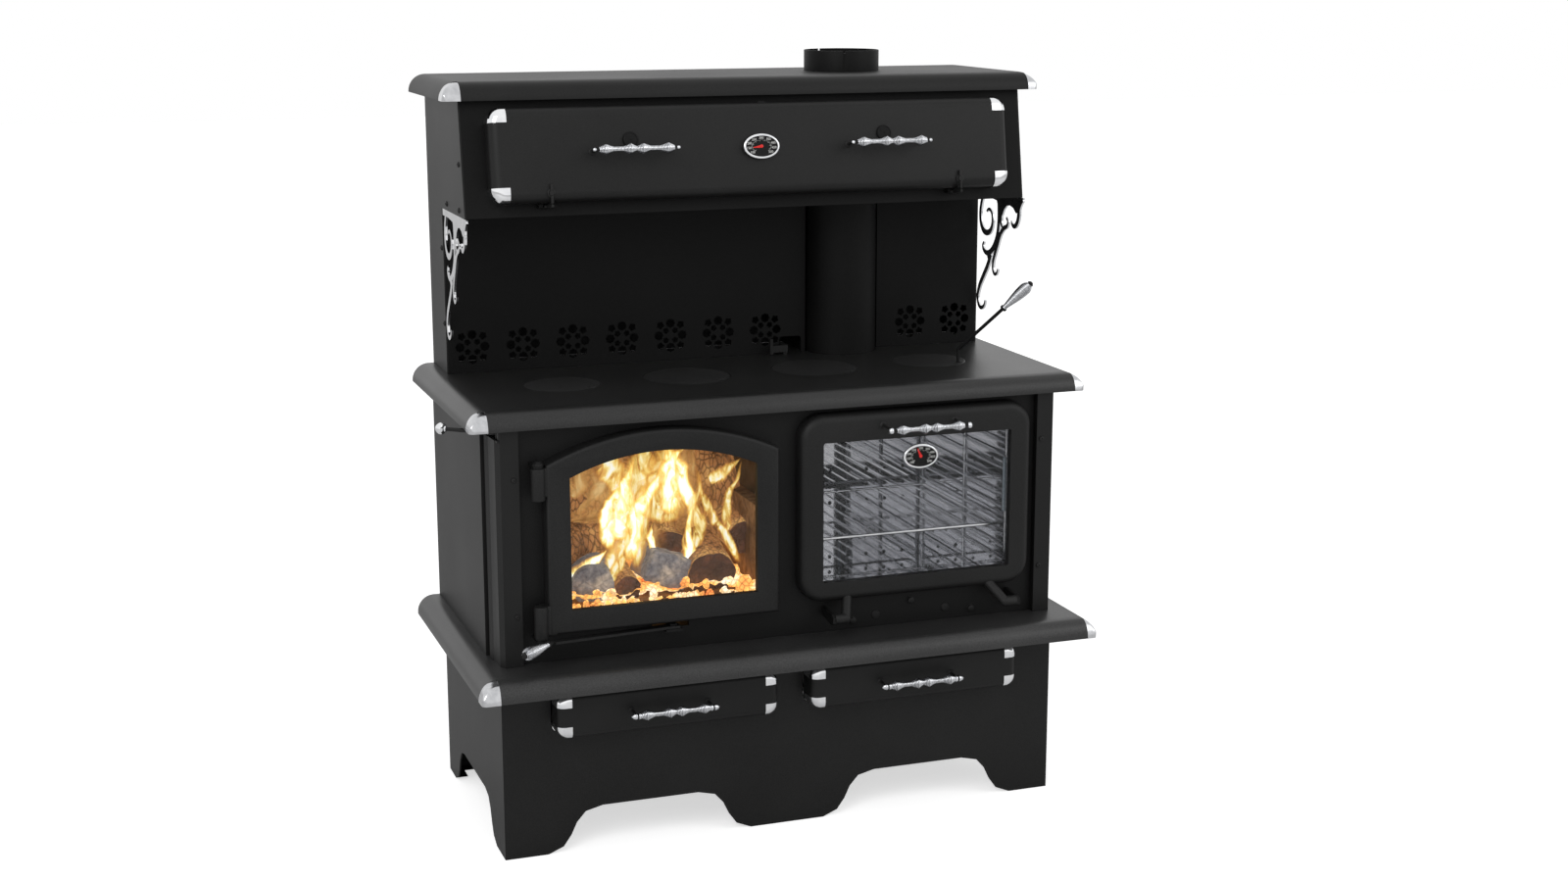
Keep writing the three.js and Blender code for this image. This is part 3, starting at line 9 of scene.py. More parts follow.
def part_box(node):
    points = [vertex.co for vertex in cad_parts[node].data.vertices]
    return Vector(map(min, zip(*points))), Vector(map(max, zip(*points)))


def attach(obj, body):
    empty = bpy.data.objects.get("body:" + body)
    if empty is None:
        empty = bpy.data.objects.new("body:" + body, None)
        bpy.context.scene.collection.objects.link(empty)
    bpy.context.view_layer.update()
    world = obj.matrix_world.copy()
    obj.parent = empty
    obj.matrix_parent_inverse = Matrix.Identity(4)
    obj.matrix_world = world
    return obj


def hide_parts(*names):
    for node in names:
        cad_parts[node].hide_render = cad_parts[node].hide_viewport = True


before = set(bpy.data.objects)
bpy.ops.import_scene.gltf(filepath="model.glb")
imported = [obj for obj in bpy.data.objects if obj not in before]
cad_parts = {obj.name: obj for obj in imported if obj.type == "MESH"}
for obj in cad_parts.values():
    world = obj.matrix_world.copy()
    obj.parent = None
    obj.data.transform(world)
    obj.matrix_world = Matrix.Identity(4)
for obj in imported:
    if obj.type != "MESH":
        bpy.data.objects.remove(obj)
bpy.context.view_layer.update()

# the stove's own axes: x from its middle plane, y from its back, z from the floor
backLow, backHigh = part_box("back_panel")
midX = (backLow.x + backHigh.x) / 2
backY = backHigh.y


def at(x, y, z):  # millimetres on the stove, to metres in the scene
    return Vector((midX + x / 1000, backY + y / 1000, z / 1000))


cameraView = {"place": (-1.3713, -4.0199, 1.6440), "tilt": 77.736, "turn": -19.913, "lens": 50.563}
bpy.ops.object.camera_add(
    location=cameraView["place"],
    rotation=(math.radians(cameraView["tilt"]), 0, math.radians(cameraView["turn"])),
)
camera = bpy.context.active_object
camera.data.lens = cameraView["lens"]
camera.data.sensor_width = 36
bpy.context.scene.camera = camera
bpy.context.scene.view_settings.view_transform = "Standard"
print("camera set")

# materials: each is kept by its name
finishes = {}


def grey(level):
    return (level, level, level)


def newMaterial(name):
    material = bpy.data.materials.new(name)
    material.use_nodes = True
    finishes[name] = material
    return material.node_tree, material.node_tree.nodes["Principled BSDF"]


def feed(tree, node, values):  # a value is a number to set or an output to link
    for key, value in values.items():
        if isinstance(value, bpy.types.NodeSocket):
            tree.links.new(value, node.inputs[key])
        else:
            node.inputs[key].default_value = value
    return node


def addNode(tree, kind, values):
    return feed(tree, tree.nodes.new("ShaderNode" + kind), values)


def objectPlace(tree, stretch):
    place = tree.nodes.new("ShaderNodeTexCoord")
    return addNode(tree, "Mapping", {"Scale": stretch, "Vector": place.outputs["Object"]}).outputs["Vector"]


def objectNoise(tree, scale, detail=2.0, stretch=(1, 1, 1), curl=0.0):
    values = {"Scale": scale, "Detail": detail, "Distortion": curl, "Vector": objectPlace(tree, stretch)}
    return addNode(tree, "TexNoise", values).outputs["Fac"]


def ramp(tree, source, stops):
    scale = addNode(tree, "ValToRGB", {"Fac": source})
    elements = scale.color_ramp.elements
    while len(elements) < len(stops):
        elements.new(0.5)
    for element, (place, colour) in zip(elements, stops):
        element.position = place
        element.color = (*colour, 1)
    return scale.outputs["Color"]


def span(tree, source, low=0.0, high=1.0, start=0.0, end=1.0):
    values = {"From Min": start, "From Max": end, "To Min": low, "To Max": high, "Value": source}
    return addNode(tree, "MapRange", values).outputs["Result"]


def maths(tree, kind, a, b=0.0):
    node = tree.nodes.new("ShaderNodeMath")
    node.operation = kind
    return feed(tree, node, {0: a, 1: b}).outputs["Value"]


def mixture(tree, kind, factor, a, b, blend="MIX"):
    node = tree.nodes.new("ShaderNodeMix")
    node.data_type = kind
    node.blend_type = blend
    return feed(tree, node, {"Factor": factor, "A": a, "B": b}).outputs["Result"]


def bumped(tree, source, strength, distance):
    return addNode(tree, "Bump", {"Strength": strength, "Distance": distance, "Height": source}).outputs["Normal"]


# stove paint: near black, a fine speckle, a slight orange peel and faint cloudy wear
def paintMaterial(name, dark, light, rough, specular, speckle, peel):
    tree, shader = newMaterial(name)
    grain, cloud = objectNoise(tree, speckle, 3), objectNoise(tree, 4.0, 4)
    mixed = mixture(tree, "FLOAT", 0.3, grain, cloud)
    feed(tree, shader, {
        "Base Color": ramp(tree, mixed, [(0.38, dark), (0.62, light)]),
        "Roughness": span(tree, cloud, rough - 0.06, rough + 0.06), "Specular IOR Level": specular, "Metallic": 0,
        "Normal": bumped(tree, grain, peel, 0.0004),
    })


# plated metal: bright, with faint polishing haze
def platedMaterial(name, dark, light, smooth, rough, grain, stretch, bump):
    tree, shader = newMaterial(name)
    haze = objectNoise(tree, grain, 3, stretch)
    feed(tree, shader, {
        "Metallic": 1, "Base Color": ramp(tree, haze, [(0.3, dark), (0.7, light)]),
        "Roughness": span(tree, haze, smooth, rough), "Normal": bumped(tree, haze, bump, 0.0003),
    })


def glassMaterial(name, dark, light, alpha):
    tree, shader = newMaterial(name)
    film = objectNoise(tree, 7, 3)
    feed(tree, shader, {
        "Base Color": ramp(tree, film, [(0.3, dark), (0.7, light)]), "Roughness": span(tree, film, 0.02, 0.07),
        "Alpha": alpha, "Specular IOR Level": 0.5,
    })


def brickMaterial(name):
    tree, shader = newMaterial(name)
    grit, soot = objectNoise(tree, 70, 5), objectNoise(tree, 9, 4)
    clay = ramp(tree, grit, [(0.35, (0.2, 0.1, 0.045)), (0.65, (0.42, 0.24, 0.11))])
    dark = ramp(tree, soot, [(0.4, (0.25, 0.2, 0.18)), (0.62, (1, 1, 1))])
    feed(tree, shader, {
        "Base Color": mixture(tree, "RGBA", 0.9, clay, dark, "MULTIPLY"), "Roughness": 0.9,
        "Normal": bumped(tree, grit, 0.5, 0.002),
    })


paints = {  # darkest and lightest colour, roughness, specular level, fineness of the speckle, orange peel
    "blackPaint": (grey(0.003), (0.011, 0.011, 0.0108), 0.46, 0.24, 900, 0.25),
    "castPaint": (grey(0.004), (0.013, 0.013, 0.0128), 0.5, 0.24, 520, 0.45),
    # shadedFramePaint: a darker, duller copy of the cast paint for the front panel, set back between the shelf and the
    # cooktop: painted shade
    "shadedFramePaint": (grey(0.002), (0.008, 0.008, 0.0079), 0.52, 0.18, 520, 0.45),
    "shelfIron": (grey(0.014), grey(0.034), 0.36, 0.42, 420, 0.5),
    "topIron": (grey(0.007), grey(0.018), 0.35, 0.42, 420, 0.6),
    "lidIron": (grey(0.01), grey(0.027), 0.43, 0.44, 420, 0.5),
    # shadedRecessPaint: a darker, duller copy of the stove's black paint for the splash back, flue and closet shell,
    # set back under the closet: painted shade
    "shadedRecessPaint": (grey(0.002), (0.007, 0.007, 0.0069), 0.5, 0.12, 900, 0.25),
    "plainBlack": (grey(0.002), grey(0.006), 0.6, 0.2, 1200, 0.15),
    "ropeGrey": ((0.14, 0.17, 0.2), (0.4, 0.45, 0.5), 0.9, 0.1, 500, 0.9),
    "dialWhite": ((0.62, 0.62, 0.6), (0.8, 0.8, 0.78), 0.5, 0.3, 300, 0.05),
    "pointerRed": ((0.62, 0.012, 0.01), (0.8, 0.02, 0.015), 0.4, 0.4, 300, 0.05),
}
metals = {  # darkest and lightest colour, least and most roughness, fineness of the haze, its stretch, bump
    "chromePlate": ((0.74, 0.75, 0.77), (0.9, 0.9, 0.91), 0.05, 0.16, 60, grey(1), 0.05),
    # shadedCornerPlate: a darker copy of the chrome for the slab corners, standing in for the dimmer reflections they
    # show: painted shade
    "shadedCornerPlate": ((0.48, 0.485, 0.5), (0.64, 0.645, 0.66), 0.16, 0.26, 60, grey(1), 0.05),
    "wireSteel": ((0.5, 0.51, 0.54), (0.82, 0.83, 0.85), 0.12, 0.28, 300, grey(1), 0.1),
    "ovenSteel": ((0.58, 0.585, 0.61), (0.68, 0.685, 0.71), 0.02, 0.05, 14, (2, 2, 60), 0),
    "darkSteel": (grey(0.1), (0.2, 0.195, 0.19), 0.4, 0.6, 45, grey(1), 0.2),
}
for name, look in paints.items():
    paintMaterial(name, *look)
for name, look in metals.items():
    platedMaterial(name, *look)
glassMaterial("ovenGlass", (0.1, 0.105, 0.11), (0.16, 0.165, 0.17), 0.12)
glassMaterial("fireGlass", (0.3, 0.2, 0.12), (0.4, 0.28, 0.16), 0.04)
brickMaterial("fireBrick")
print("materials made")

# the CAD nodes that stay take their finish
nodeFinish = {
    "blackPaint": ("plinth", "side_panel_left", "side_panel_right", "back_panel", "corner_post_left",
                   "corner_post_right", "upper_side_left", "upper_side_right", "upper_back"),
    "shadedFramePaint": ("front_panel",),
    "castPaint": ("fire_grate", "bypass_lever", "air_lever"),
    "darkSteel": ("firebox_shell", "ash_drawer_runners", "storage_drawer_runners"),
    "fireBrick": ("firebricks",),
    "shadedRecessPaint": ("closet_shell",),
    "plainBlack": ("lid_lifter",),
    "fireGlass": ("fire_door_glass",),
    "ovenGlass": ("oven_door_glass",),
}
for name, held in nodeFinish.items():
    for node in held:
        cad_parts[node].data.materials.clear()
        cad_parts[node].data.materials.append(finishes[name])


# tools for making pieces
def choose(piece=None):
    bpy.ops.object.select_all(action="DESELECT")
    if piece:
        piece.select_set(True)
        bpy.context.view_layer.objects.active = piece


def settle(name):  # a new primitive gets its name, and its place goes into its mesh
    piece = bpy.context.active_object
    piece.name = name
    piece.data.name = name
    bpy.ops.object.transform_apply(location=True, rotation=True, scale=True)
    return piece


def addBlock(name, low, high):
    a, b = at(*low), at(*high)
    choose()
    bpy.ops.mesh.primitive_cube_add(size=1, location=(a + b) / 2)
    bpy.context.active_object.scale = [abs(v) for v in b - a]
    return settle(name)


def addRod(name, start, end, radius, sides=24):
    a, b = at(*start), at(*end)
    choose()
    bpy.ops.mesh.primitive_cone_add(
        vertices=sides, radius1=radius / 1000, radius2=radius / 1000, depth=(b - a).length, location=(a + b) / 2,
        rotation=(b - a).to_track_quat("Z", "Y").to_euler(),
    )
    return settle(name)


def pick(piece, mode, test=lambda part: True):  # edit mode with what passes the test selected
    choose(piece)
    bpy.ops.object.mode_set(mode="EDIT")
    bpy.ops.mesh.select_mode(type=mode)
    bpy.ops.mesh.select_all(action="DESELECT")
    shape = bmesh.from_edit_mesh(piece.data)
    for element in {"EDGE": shape.edges, "FACE": shape.faces}[mode]:
        if test(element):
            element.select_set(True)
    bmesh.update_edit_mesh(piece.data)


def leave():
    bpy.ops.object.mode_set(mode="OBJECT")


def bevelEdges(piece, test, width, segments):
    pick(piece, "EDGE", test)
    bpy.ops.mesh.bevel(offset=width / 1000, segments=segments, profile=0.5, affect="EDGES", clamp_overlap=True)
    leave()
    return piece


def near(value, target):
    return abs(value - target) < 2e-5


def flush(axis, place):  # tests for edges and faces that lie at one place along an axis
    i = "xyz".index(axis)
    target = at(place, place, place)[i]
    return lambda part: all(near(v.co[i], target) for v in part.verts)


def alongY(edge):
    a, b = (v.co for v in edge.verts)
    return near(a.x, b.x) and near(a.z, b.z)


def alongZ(edge):
    a, b = (v.co for v in edge.verts)
    return near(a.x, b.x) and near(a.y, b.y)


def everyEdge(edge):
    return True


def combine(piece, other, operation):
    choose(piece)
    bpy.ops.object.modifier_add(type="BOOLEAN")
    step = piece.modifiers[-1]
    step.operation = operation
    step.solver = "EXACT"
    step.object = other
    bpy.ops.object.modifier_apply(modifier=step.name)
    bpy.data.objects.remove(other)
    return piece


def cut(piece, *others):
    for other in others:
        combine(piece, other, "DIFFERENCE")
    return piece


def joinAll(name, pieces):
    choose(pieces[0])
    for piece in pieces[1:]:
        piece.select_set(True)
    if len(pieces) > 1:
        bpy.ops.object.join()
    pieces[0].name = name
    pieces[0].data.name = name
    return pieces[0]


def finish(piece, material, body="root", stands=(), angle=35):
    choose(piece)
    bpy.ops.object.shade_smooth_by_angle(angle=math.radians(angle))
    piece.data.materials.clear()
    piece.data.materials.append(finishes[material])
    if stands:
        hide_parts(*stands)
    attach(piece, body)
    return piece


def standOn(piece, place, toward):  # a piece made upright at the origin goes to its place and direction
    turnTo = Vector(toward).to_track_quat("Z", "Y").to_matrix().to_4x4()
    piece.data.transform(Matrix.Translation(place) @ turnTo)
    return piece


def spin(piece, x, z, turn):  # about an axis that runs along y
    middle = at(x, 0, z)
    piece.data.transform(Matrix.Translation(middle) @ Matrix.Rotation(turn, 4, "Y") @ Matrix.Translation(-middle))
    return piece


# turned pieces: the rings of a ball are moved to a profile of (radius, height)
def turned(name, profile, start, toward, sides=24):
    choose()
    rings = len(profile) - 1
    bpy.ops.mesh.primitive_uv_sphere_add(segments=sides, ring_count=rings, radius=1)
    piece = settle(name)
    for vertex in piece.data.vertices:
        radius, height = profile[round(math.acos(max(-1, min(1, -vertex.co.z))) / math.pi * rings)]
        flat = Vector((vertex.co.x, vertex.co.y))
        flat = flat.normalized() * radius / 1000 if flat.length > 1e-6 else Vector((0, 0))
        vertex.co = (flat.x, flat.y, height / 1000)
    return standOn(piece, at(*start), toward)


def curvePoint(points, part, t):  # on the smooth curve through the points, part counts its stretches
    p0, p1, p2, p3 = (points[min(max(part + k, 0), len(points) - 1)] for k in (-1, 0, 1, 2))
    square, cube = 2 * p0 - 5 * p1 + 4 * p2 - p3, 3 * p1 - p0 - 3 * p2 + p3
    return 0.5 * (2 * p1 + (p2 - p0) * t + square * t * t + cube * t ** 3)


# slabs: shelf, cooktop and closet top, with a quarter-round nosing
nosing = 33
slabs = {
    "shelf": {"half": 615, "front": 621, "top": 377, "drop": 38, "pocket": (563, 525), "finish": "shelfIron",
              "node": "shelf", "slot": "cast_black"},
    "cooktop": {"half": 609, "front": 549, "top": 858.5, "drop": 35, "pocket": (571, 534), "finish": "topIron",
                "node": "cooktop", "slot": "cooktop_iron", "pipe": 70},
    "closetTop": {"half": 596.5, "front": 337, "top": 1430.5, "drop": 34, "pocket": (567, 319), "finish": "blackPaint",
                  "node": "closet_top", "slot": "black_paint", "pipe": 74},
}
slabPlate = 8
cap = {"proud": 1.3, "left": 33, "right": 20, "steps": 22, "blend": 0.3, "round": 8, "thick": 1.6}
lids = {
    "lid_left_outer": (-380, 73), "lid_left_inner": (-132, 84.5),
    "lid_right_inner": (132, 84.5), "lid_right_outer": (380, 73),
}
lidLine = -315
lidSlot = {"in": 11, "half": (7, 4), "turn": math.radians(45)}
flue = {"x": 258, "y": -131, "radius": 73, "wall": 3, "collar": 75.5, "top": 1471}


def makeSlab(name, spec):
    half, front, top, drop = spec["half"], spec["front"], spec["top"], spec["drop"]
    slab = addBlock(name, (-half, -front, top - drop), (half, 0, top))
    onTop, onBack, onFront = flush("z", top), flush("y", 0), flush("y", -front)
    bevelEdges(slab, lambda e: onTop(e) and not onBack(e), min(nosing, drop - 0.5), 10)
    rounding = addBlock("rounding", (-half, -front, top - drop - 5), (half, 60, top + 5))
    bevelEdges(rounding, lambda e: alongZ(e) and onFront(e), 8, 5)
    combine(slab, rounding, "INTERSECT")
    pocketHalf, pocketFront = spec["pocket"]
    cut(slab, addBlock("pocket", (-pocketHalf, -pocketFront, top - drop - 3), (pocketHalf, 5, top - slabPlate)))
    # the painted plate stops where the plated corner pieces begin
    for side, wide in ((-1, cap["left"]), (1, cap["right"])):
        inner, outer = side * (half - wide), side * (half + 20)
        cut(slab, addBlock("corner", (min(inner, outer), -front - 20, top - drop - 3),
                           (max(inner, outer), -front + nosing, top + 3)))
    return slab


# plated corner piece: a smooth dome that blends the nosing of the front into that of the side
def makeCorner(name, spec, side, wide):
    proud, blend = cap["proud"], cap["blend"]
    half, front, rise = (spec[key] + proud for key in ("half", "front", "drop"))
    deep, corner = nosing + proud, cap["round"] + proud
    choose()
    bpy.ops.mesh.primitive_grid_add(x_subdivisions=cap["steps"], y_subdivisions=cap["steps"], size=1)
    piece = settle(name)
    for vertex in piece.data.vertices:
        u = (vertex.co.x + 0.5) ** 1.8 * (wide + proud)
        v = (vertex.co.y + 0.5) ** 1.8 * deep
        heights = [math.sqrt(max(0, 1 - (1 - min(1, d / deep)) ** 2)) for d in (u, v)]
        overlap = max(blend - abs(heights[0] - heights[1]), 0) / blend
        height = max(0, min(heights) - overlap * overlap * blend / 4)
        if u < corner and v < corner:
            away = Vector((corner - u, corner - v))
            if away.length > corner:
                away = away.normalized() * corner
                u, v = corner - away.x, corner - away.y
        vertex.co = at(side * (half - u), -front + v, spec["top"] - spec["drop"] + rise * height)
    pick(piece, "FACE")
    if side > 0:
        bpy.ops.mesh.flip_normals()
    bpy.ops.mesh.remove_doubles(threshold=1e-6)
    leave()
    bpy.ops.object.modifier_add(type="SOLIDIFY")
    piece.modifiers[-1].thickness = cap["thick"] / 1000
    piece.modifiers[-1].offset = -1
    bpy.ops.object.modifier_apply(modifier=piece.modifiers[-1].name)
    return piece


for name, spec in slabs.items():
    slab = makeSlab(name, spec)
    top = spec["top"]
    if name == "cooktop":
        for x, radius in lids.values():
            cut(slab, addRod("recess", (x, lidLine, top - 6), (x, lidLine, top + 2), radius + 0.6, 96),
                addRod("hole", (x, lidLine, top - 20), (x, lidLine, top + 2), radius - 6, 96))
    if "pipe" in spec:
        x, y = flue["x"], flue["y"]
        cut(slab, addRod("pipeHole", (x, y, top - 20), (x, y, top + 2), spec["pipe"], 96))
    finish(slab, spec["finish"], stands=[spec["node"]])
    corners = [makeCorner("corner", spec, side, wide) for side, wide in ((-1, cap["left"]), (1, cap["right"]))]
    # the slab corners take the darker plating: painted shade on the chrome
    finish(joinAll(name + "Corners", corners), "shadedCornerPlate", angle=60)
print("slabs made")


# lids with a lifting slot
def makeLid(name, x, radius):
    top, turn = slabs["cooktop"]["top"], lidSlot["turn"]
    halfX, halfY = lidSlot["half"]
    lid = addRod(name + "Plate", (x, lidLine, top - 5.6), (x, lidLine, top), radius, 96)
    bevelEdges(lid, flush("z", top), 1.2, 3)
    slotX = x + (radius - lidSlot["in"]) * math.cos(turn)
    slotY = lidLine - (radius - lidSlot["in"]) * math.sin(turn)
    slot = addBlock("slot", (slotX - halfX, slotY - halfY, top - 4), (slotX + halfX, slotY + halfY, top + 2))
    choose(slot)
    bpy.ops.transform.rotate(value=turn, orient_axis="Z", center_override=at(slotX, slotY, top))
    settle("slot")
    finish(cut(lid, slot), "lidIron", body=name, stands=[name])


for name, (x, radius) in lids.items():
    makeLid(name, x, radius)
print("lids made")


# pressed panels: drawer fronts and doors, the first with plated corner pieces
def pressedPanel(name, low, high, spec, grow=0.0):
    face = spec["face"]
    panel = addBlock(name, (low[0] - grow, -face - grow, low[1] - grow),
                     (high[0] + grow, -face + spec["thick"], high[1] + grow))
    bevelEdges(panel, alongY, spec["radius"] + grow, 10)
    return bevelEdges(panel, flush("y", -face - grow), spec["edge"] + grow, 8)


def panelCorners(name, low, high, spec):
    shell = pressedPanel(name, low, high, spec, cap["proud"])
    wide, tallLow, tallHigh = spec["corners"]
    blocks = []
    for x0, x1 in ((low[0] - 9, low[0] + wide), (high[0] - wide, high[0] + 9)):
        for z0, z1 in ((low[1] - 9, low[1] + tallLow), (high[1] - tallHigh, high[1] + 9)):
            blocks.append(addBlock("keep", (x0, -spec["face"] - 9, z0), (x1, -spec["face"] + spec["thick"] + 4, z1)))
    return combine(shell, joinAll("keep", blocks), "INTERSECT")


drawer = {
    "mid": 249.7, "half": 216, "low": 239, "high": 326, "face": 570, "thick": 48, "deep": 454, "wall": 2.5,
    "radius": 22, "edge": 15, "corners": (27, 25, 25), "frontWall": 6, "trayIn": 20,
}


def makeDrawer(node, side):
    x, face, wall = side * drawer["mid"], drawer["face"], drawer["wall"]
    low, high = (x - drawer["half"], drawer["low"]), (x + drawer["half"], drawer["high"])
    trayHalf = drawer["half"] - drawer["trayIn"]
    floorZ, rimZ, back = drawer["low"] + 4, drawer["high"] - 14, -face + drawer["deep"]
    hollow = ((x - trayHalf + wall, -face + drawer["frontWall"], floorZ + wall),
              (x + trayHalf - wall, back - wall, rimZ + 1))
    front = pressedPanel(node + "_front", low, high, drawer)
    finish(cut(front, addBlock("hollow", *hollow)), "blackPaint", node, [node])
    finish(panelCorners(node + "_corners", low, high, drawer), "chromePlate", node)
    tray = addBlock(node + "_tray", (x - trayHalf, -face + drawer["thick"] - 1, floorZ), (x + trayHalf, back, rimZ))
    bevelEdges(tray, alongZ, 1.0, 3)
    finish(cut(tray, addBlock("hollow", *hollow)), "darkSteel", node)


makeDrawer("ash_drawer", -1)
makeDrawer("storage_drawer", 1)
print("drawers made")

# the closet's front leans back: its pieces are made upright and then leaned
closetDoor = {
    "half": 519, "low": 23, "high": 198, "face": 43, "thick": 42, "radius": 26, "edge": 18, "corners": (33, 29, 27),
    "lean": math.atan(34 / 210), "foot": (0, -347, 1183),
}


def lean(piece):
    choose(piece)
    piece.matrix_world = (Matrix.Translation(at(*closetDoor["foot"])) @ Matrix.Rotation(-closetDoor["lean"], 4, "X")
                          @ Matrix.Translation(-at(0, 0, 0)))
    bpy.ops.object.transform_apply(location=True, rotation=True, scale=True)
    return piece


def makeClosetDoor():
    spec = closetDoor
    low, high = (-spec["half"], spec["low"]), (spec["half"], spec["high"])
    door = pressedPanel("closetDoorPanel", low, high, spec)
    pick(door, "FACE", flush("y", -spec["face"] + spec["thick"]))
    bpy.ops.mesh.inset(thickness=0.004)
    bpy.ops.mesh.extrude_region_move(TRANSFORM_OT_translate={"value": (0, -0.024, 0)})
    leave()
    finish(lean(door), "blackPaint", "closet_door", ["closet_door"])
    finish(lean(panelCorners("closetDoorCorners", low, high, spec)), "chromePlate", "closet_door")
    print("closet door made")


makeClosetDoor()

# fire door: arched frame with a glass behind
fireDoor = {
    "mid": -249, "half": 224, "low": 437, "shoulder": 756, "rise": 52, "rim": 44,
    "face": 550, "back": 516.5, "hinge": (-487, -545), "knuckles": ((692, 752), (431, 493)),
}


def archBlock(name, mid, half, low, shoulder, rise, y0, y1):  # a block under a large round crown
    radius = (half * half + rise * rise) / (2 * rise)
    body = addBlock(name, (mid - half, y0, low), (mid + half, y1, shoulder + rise + 5))
    centre = shoulder + rise - radius
    return combine(body, addRod("crown", (mid, y0 - 5, centre), (mid, y1 + 5, centre), radius, 384), "INTERSECT")


def makeFireDoor():
    mid, half, low, shoulder, rise, rim, face, back = (
        fireDoor[key] for key in ("mid", "half", "low", "shoulder", "rise", "rim", "face", "back"))
    door = archBlock("fireDoorFrame", mid, half, low, shoulder, rise, -face, -back)
    onFront = flush("y", -face)
    bevelEdges(door, onFront, 7, 4)
    window = archBlock("window", mid, half - rim, low + rim, shoulder - 26, rise - 13, -face - 5, -back + 5)
    rebate = archBlock("rebate", mid, half - 30, low + 30, shoulder - 18, rise - 9, -face + 14, -back + 5)
    cut(door, window, rebate)

    def onWindow(edge):
        middle = (edge.verts[0].co + edge.verts[1].co) * 500
        return (onFront(edge) and abs(middle.x - midX * 1000 - mid) < half - rim + 1
                and low + rim - 1 < middle.z < shoulder - 12 + rise)

    bevelEdges(door, onWindow, 1.5, 2)
    pieces = [door]
    x, y = fireDoor["hinge"]
    for z0, z1 in fireDoor["knuckles"]:
        onLow, onHigh = flush("z", z0), flush("z", z1)
        knuckle = addRod("knuckle", (x, y, z0), (x, y, z1), 13, 32)
        pieces.append(bevelEdges(knuckle, lambda e: onLow(e) or onHigh(e), 2, 3))
        web = addBlock("web", (x, -549, z0 + 6), (x + 30, -back - 8, z1))
        pieces.append(bevelEdges(web, everyEdge, 2.5, 3))
    finish(joinAll("fireDoorFrame", pieces), "castPaint", "fire_door", ["fire_door_frame"])
    print("fire door made")


makeFireDoor()

# oven door: pillowed frame, window, cranked arms
ovenDoor = {
    "mid": 259, "half": 240, "low": 444, "high": 811, "radius": 48, "edge": 17, "face": 548, "thick": 31.5,
    "pane": (195, 484, 757), "pivot": (-566, 416), "arms": ((77, 118, 1), (465, 410, -1)),
    "bend": [(0, -10.5), (4, -9.7), (7.4, -7.4), (9.7, -4), (10.5, 0), (9.7, 4), (7.4, 7.4), (4, 9.7), (0, 10.5)],
}


def makeOvenDoor():
    spec = ovenDoor
    mid, half, face, back = spec["mid"], spec["half"], -spec["face"], -spec["face"] + spec["thick"]
    door = pressedPanel("ovenDoorFrame", (mid - half, spec["low"]), (mid + half, spec["high"]), spec)
    paneHalf, paneLow, paneHigh = spec["pane"]
    window = addBlock("window", (mid - paneHalf, face - 5, paneLow), (mid + paneHalf, back + 5, paneHigh))
    bevelEdges(window, alongY, 3, 3)
    rebate = addBlock("rebate", (mid - paneHalf - 9, face + 16, paneLow - 9),
                      (mid + paneHalf + 9, back + 5, paneHigh + 9))
    pieces = [cut(door, window, rebate)]
    for ear, foot, side in spec["arms"]:
        start, elbow = (ear + side * 3.3, *spec["pivot"]), (ear + side * 26, *spec["pivot"])
        pieces += [addRod("barrel", start, elbow, 10.5, 28), turned("bend", spec["bend"], elbow, (0, 0, 1), 28),
                   addRod("arm", elbow, (foot, face + 15, spec["low"] + 12), 10, 28)]
    finish(joinAll("ovenDoorFrame", pieces), "castPaint", "oven_door", ["oven_door_frame"])
    print("oven door made")


makeOvenDoor()

# oven: mirror-bright lining, close guide wires on both walls, a raised front rail on the rack
oven = {"left": 44, "right": 474, "front": 510.7, "back": 70, "low": 453.3, "high": 776, "plate": 3, "guides": 11,
        "pitch": 26.5}
rack = {"x": (57, 461), "front": -494, "back": -110, "z": 549.3, "lift": 7, "wires": 15}


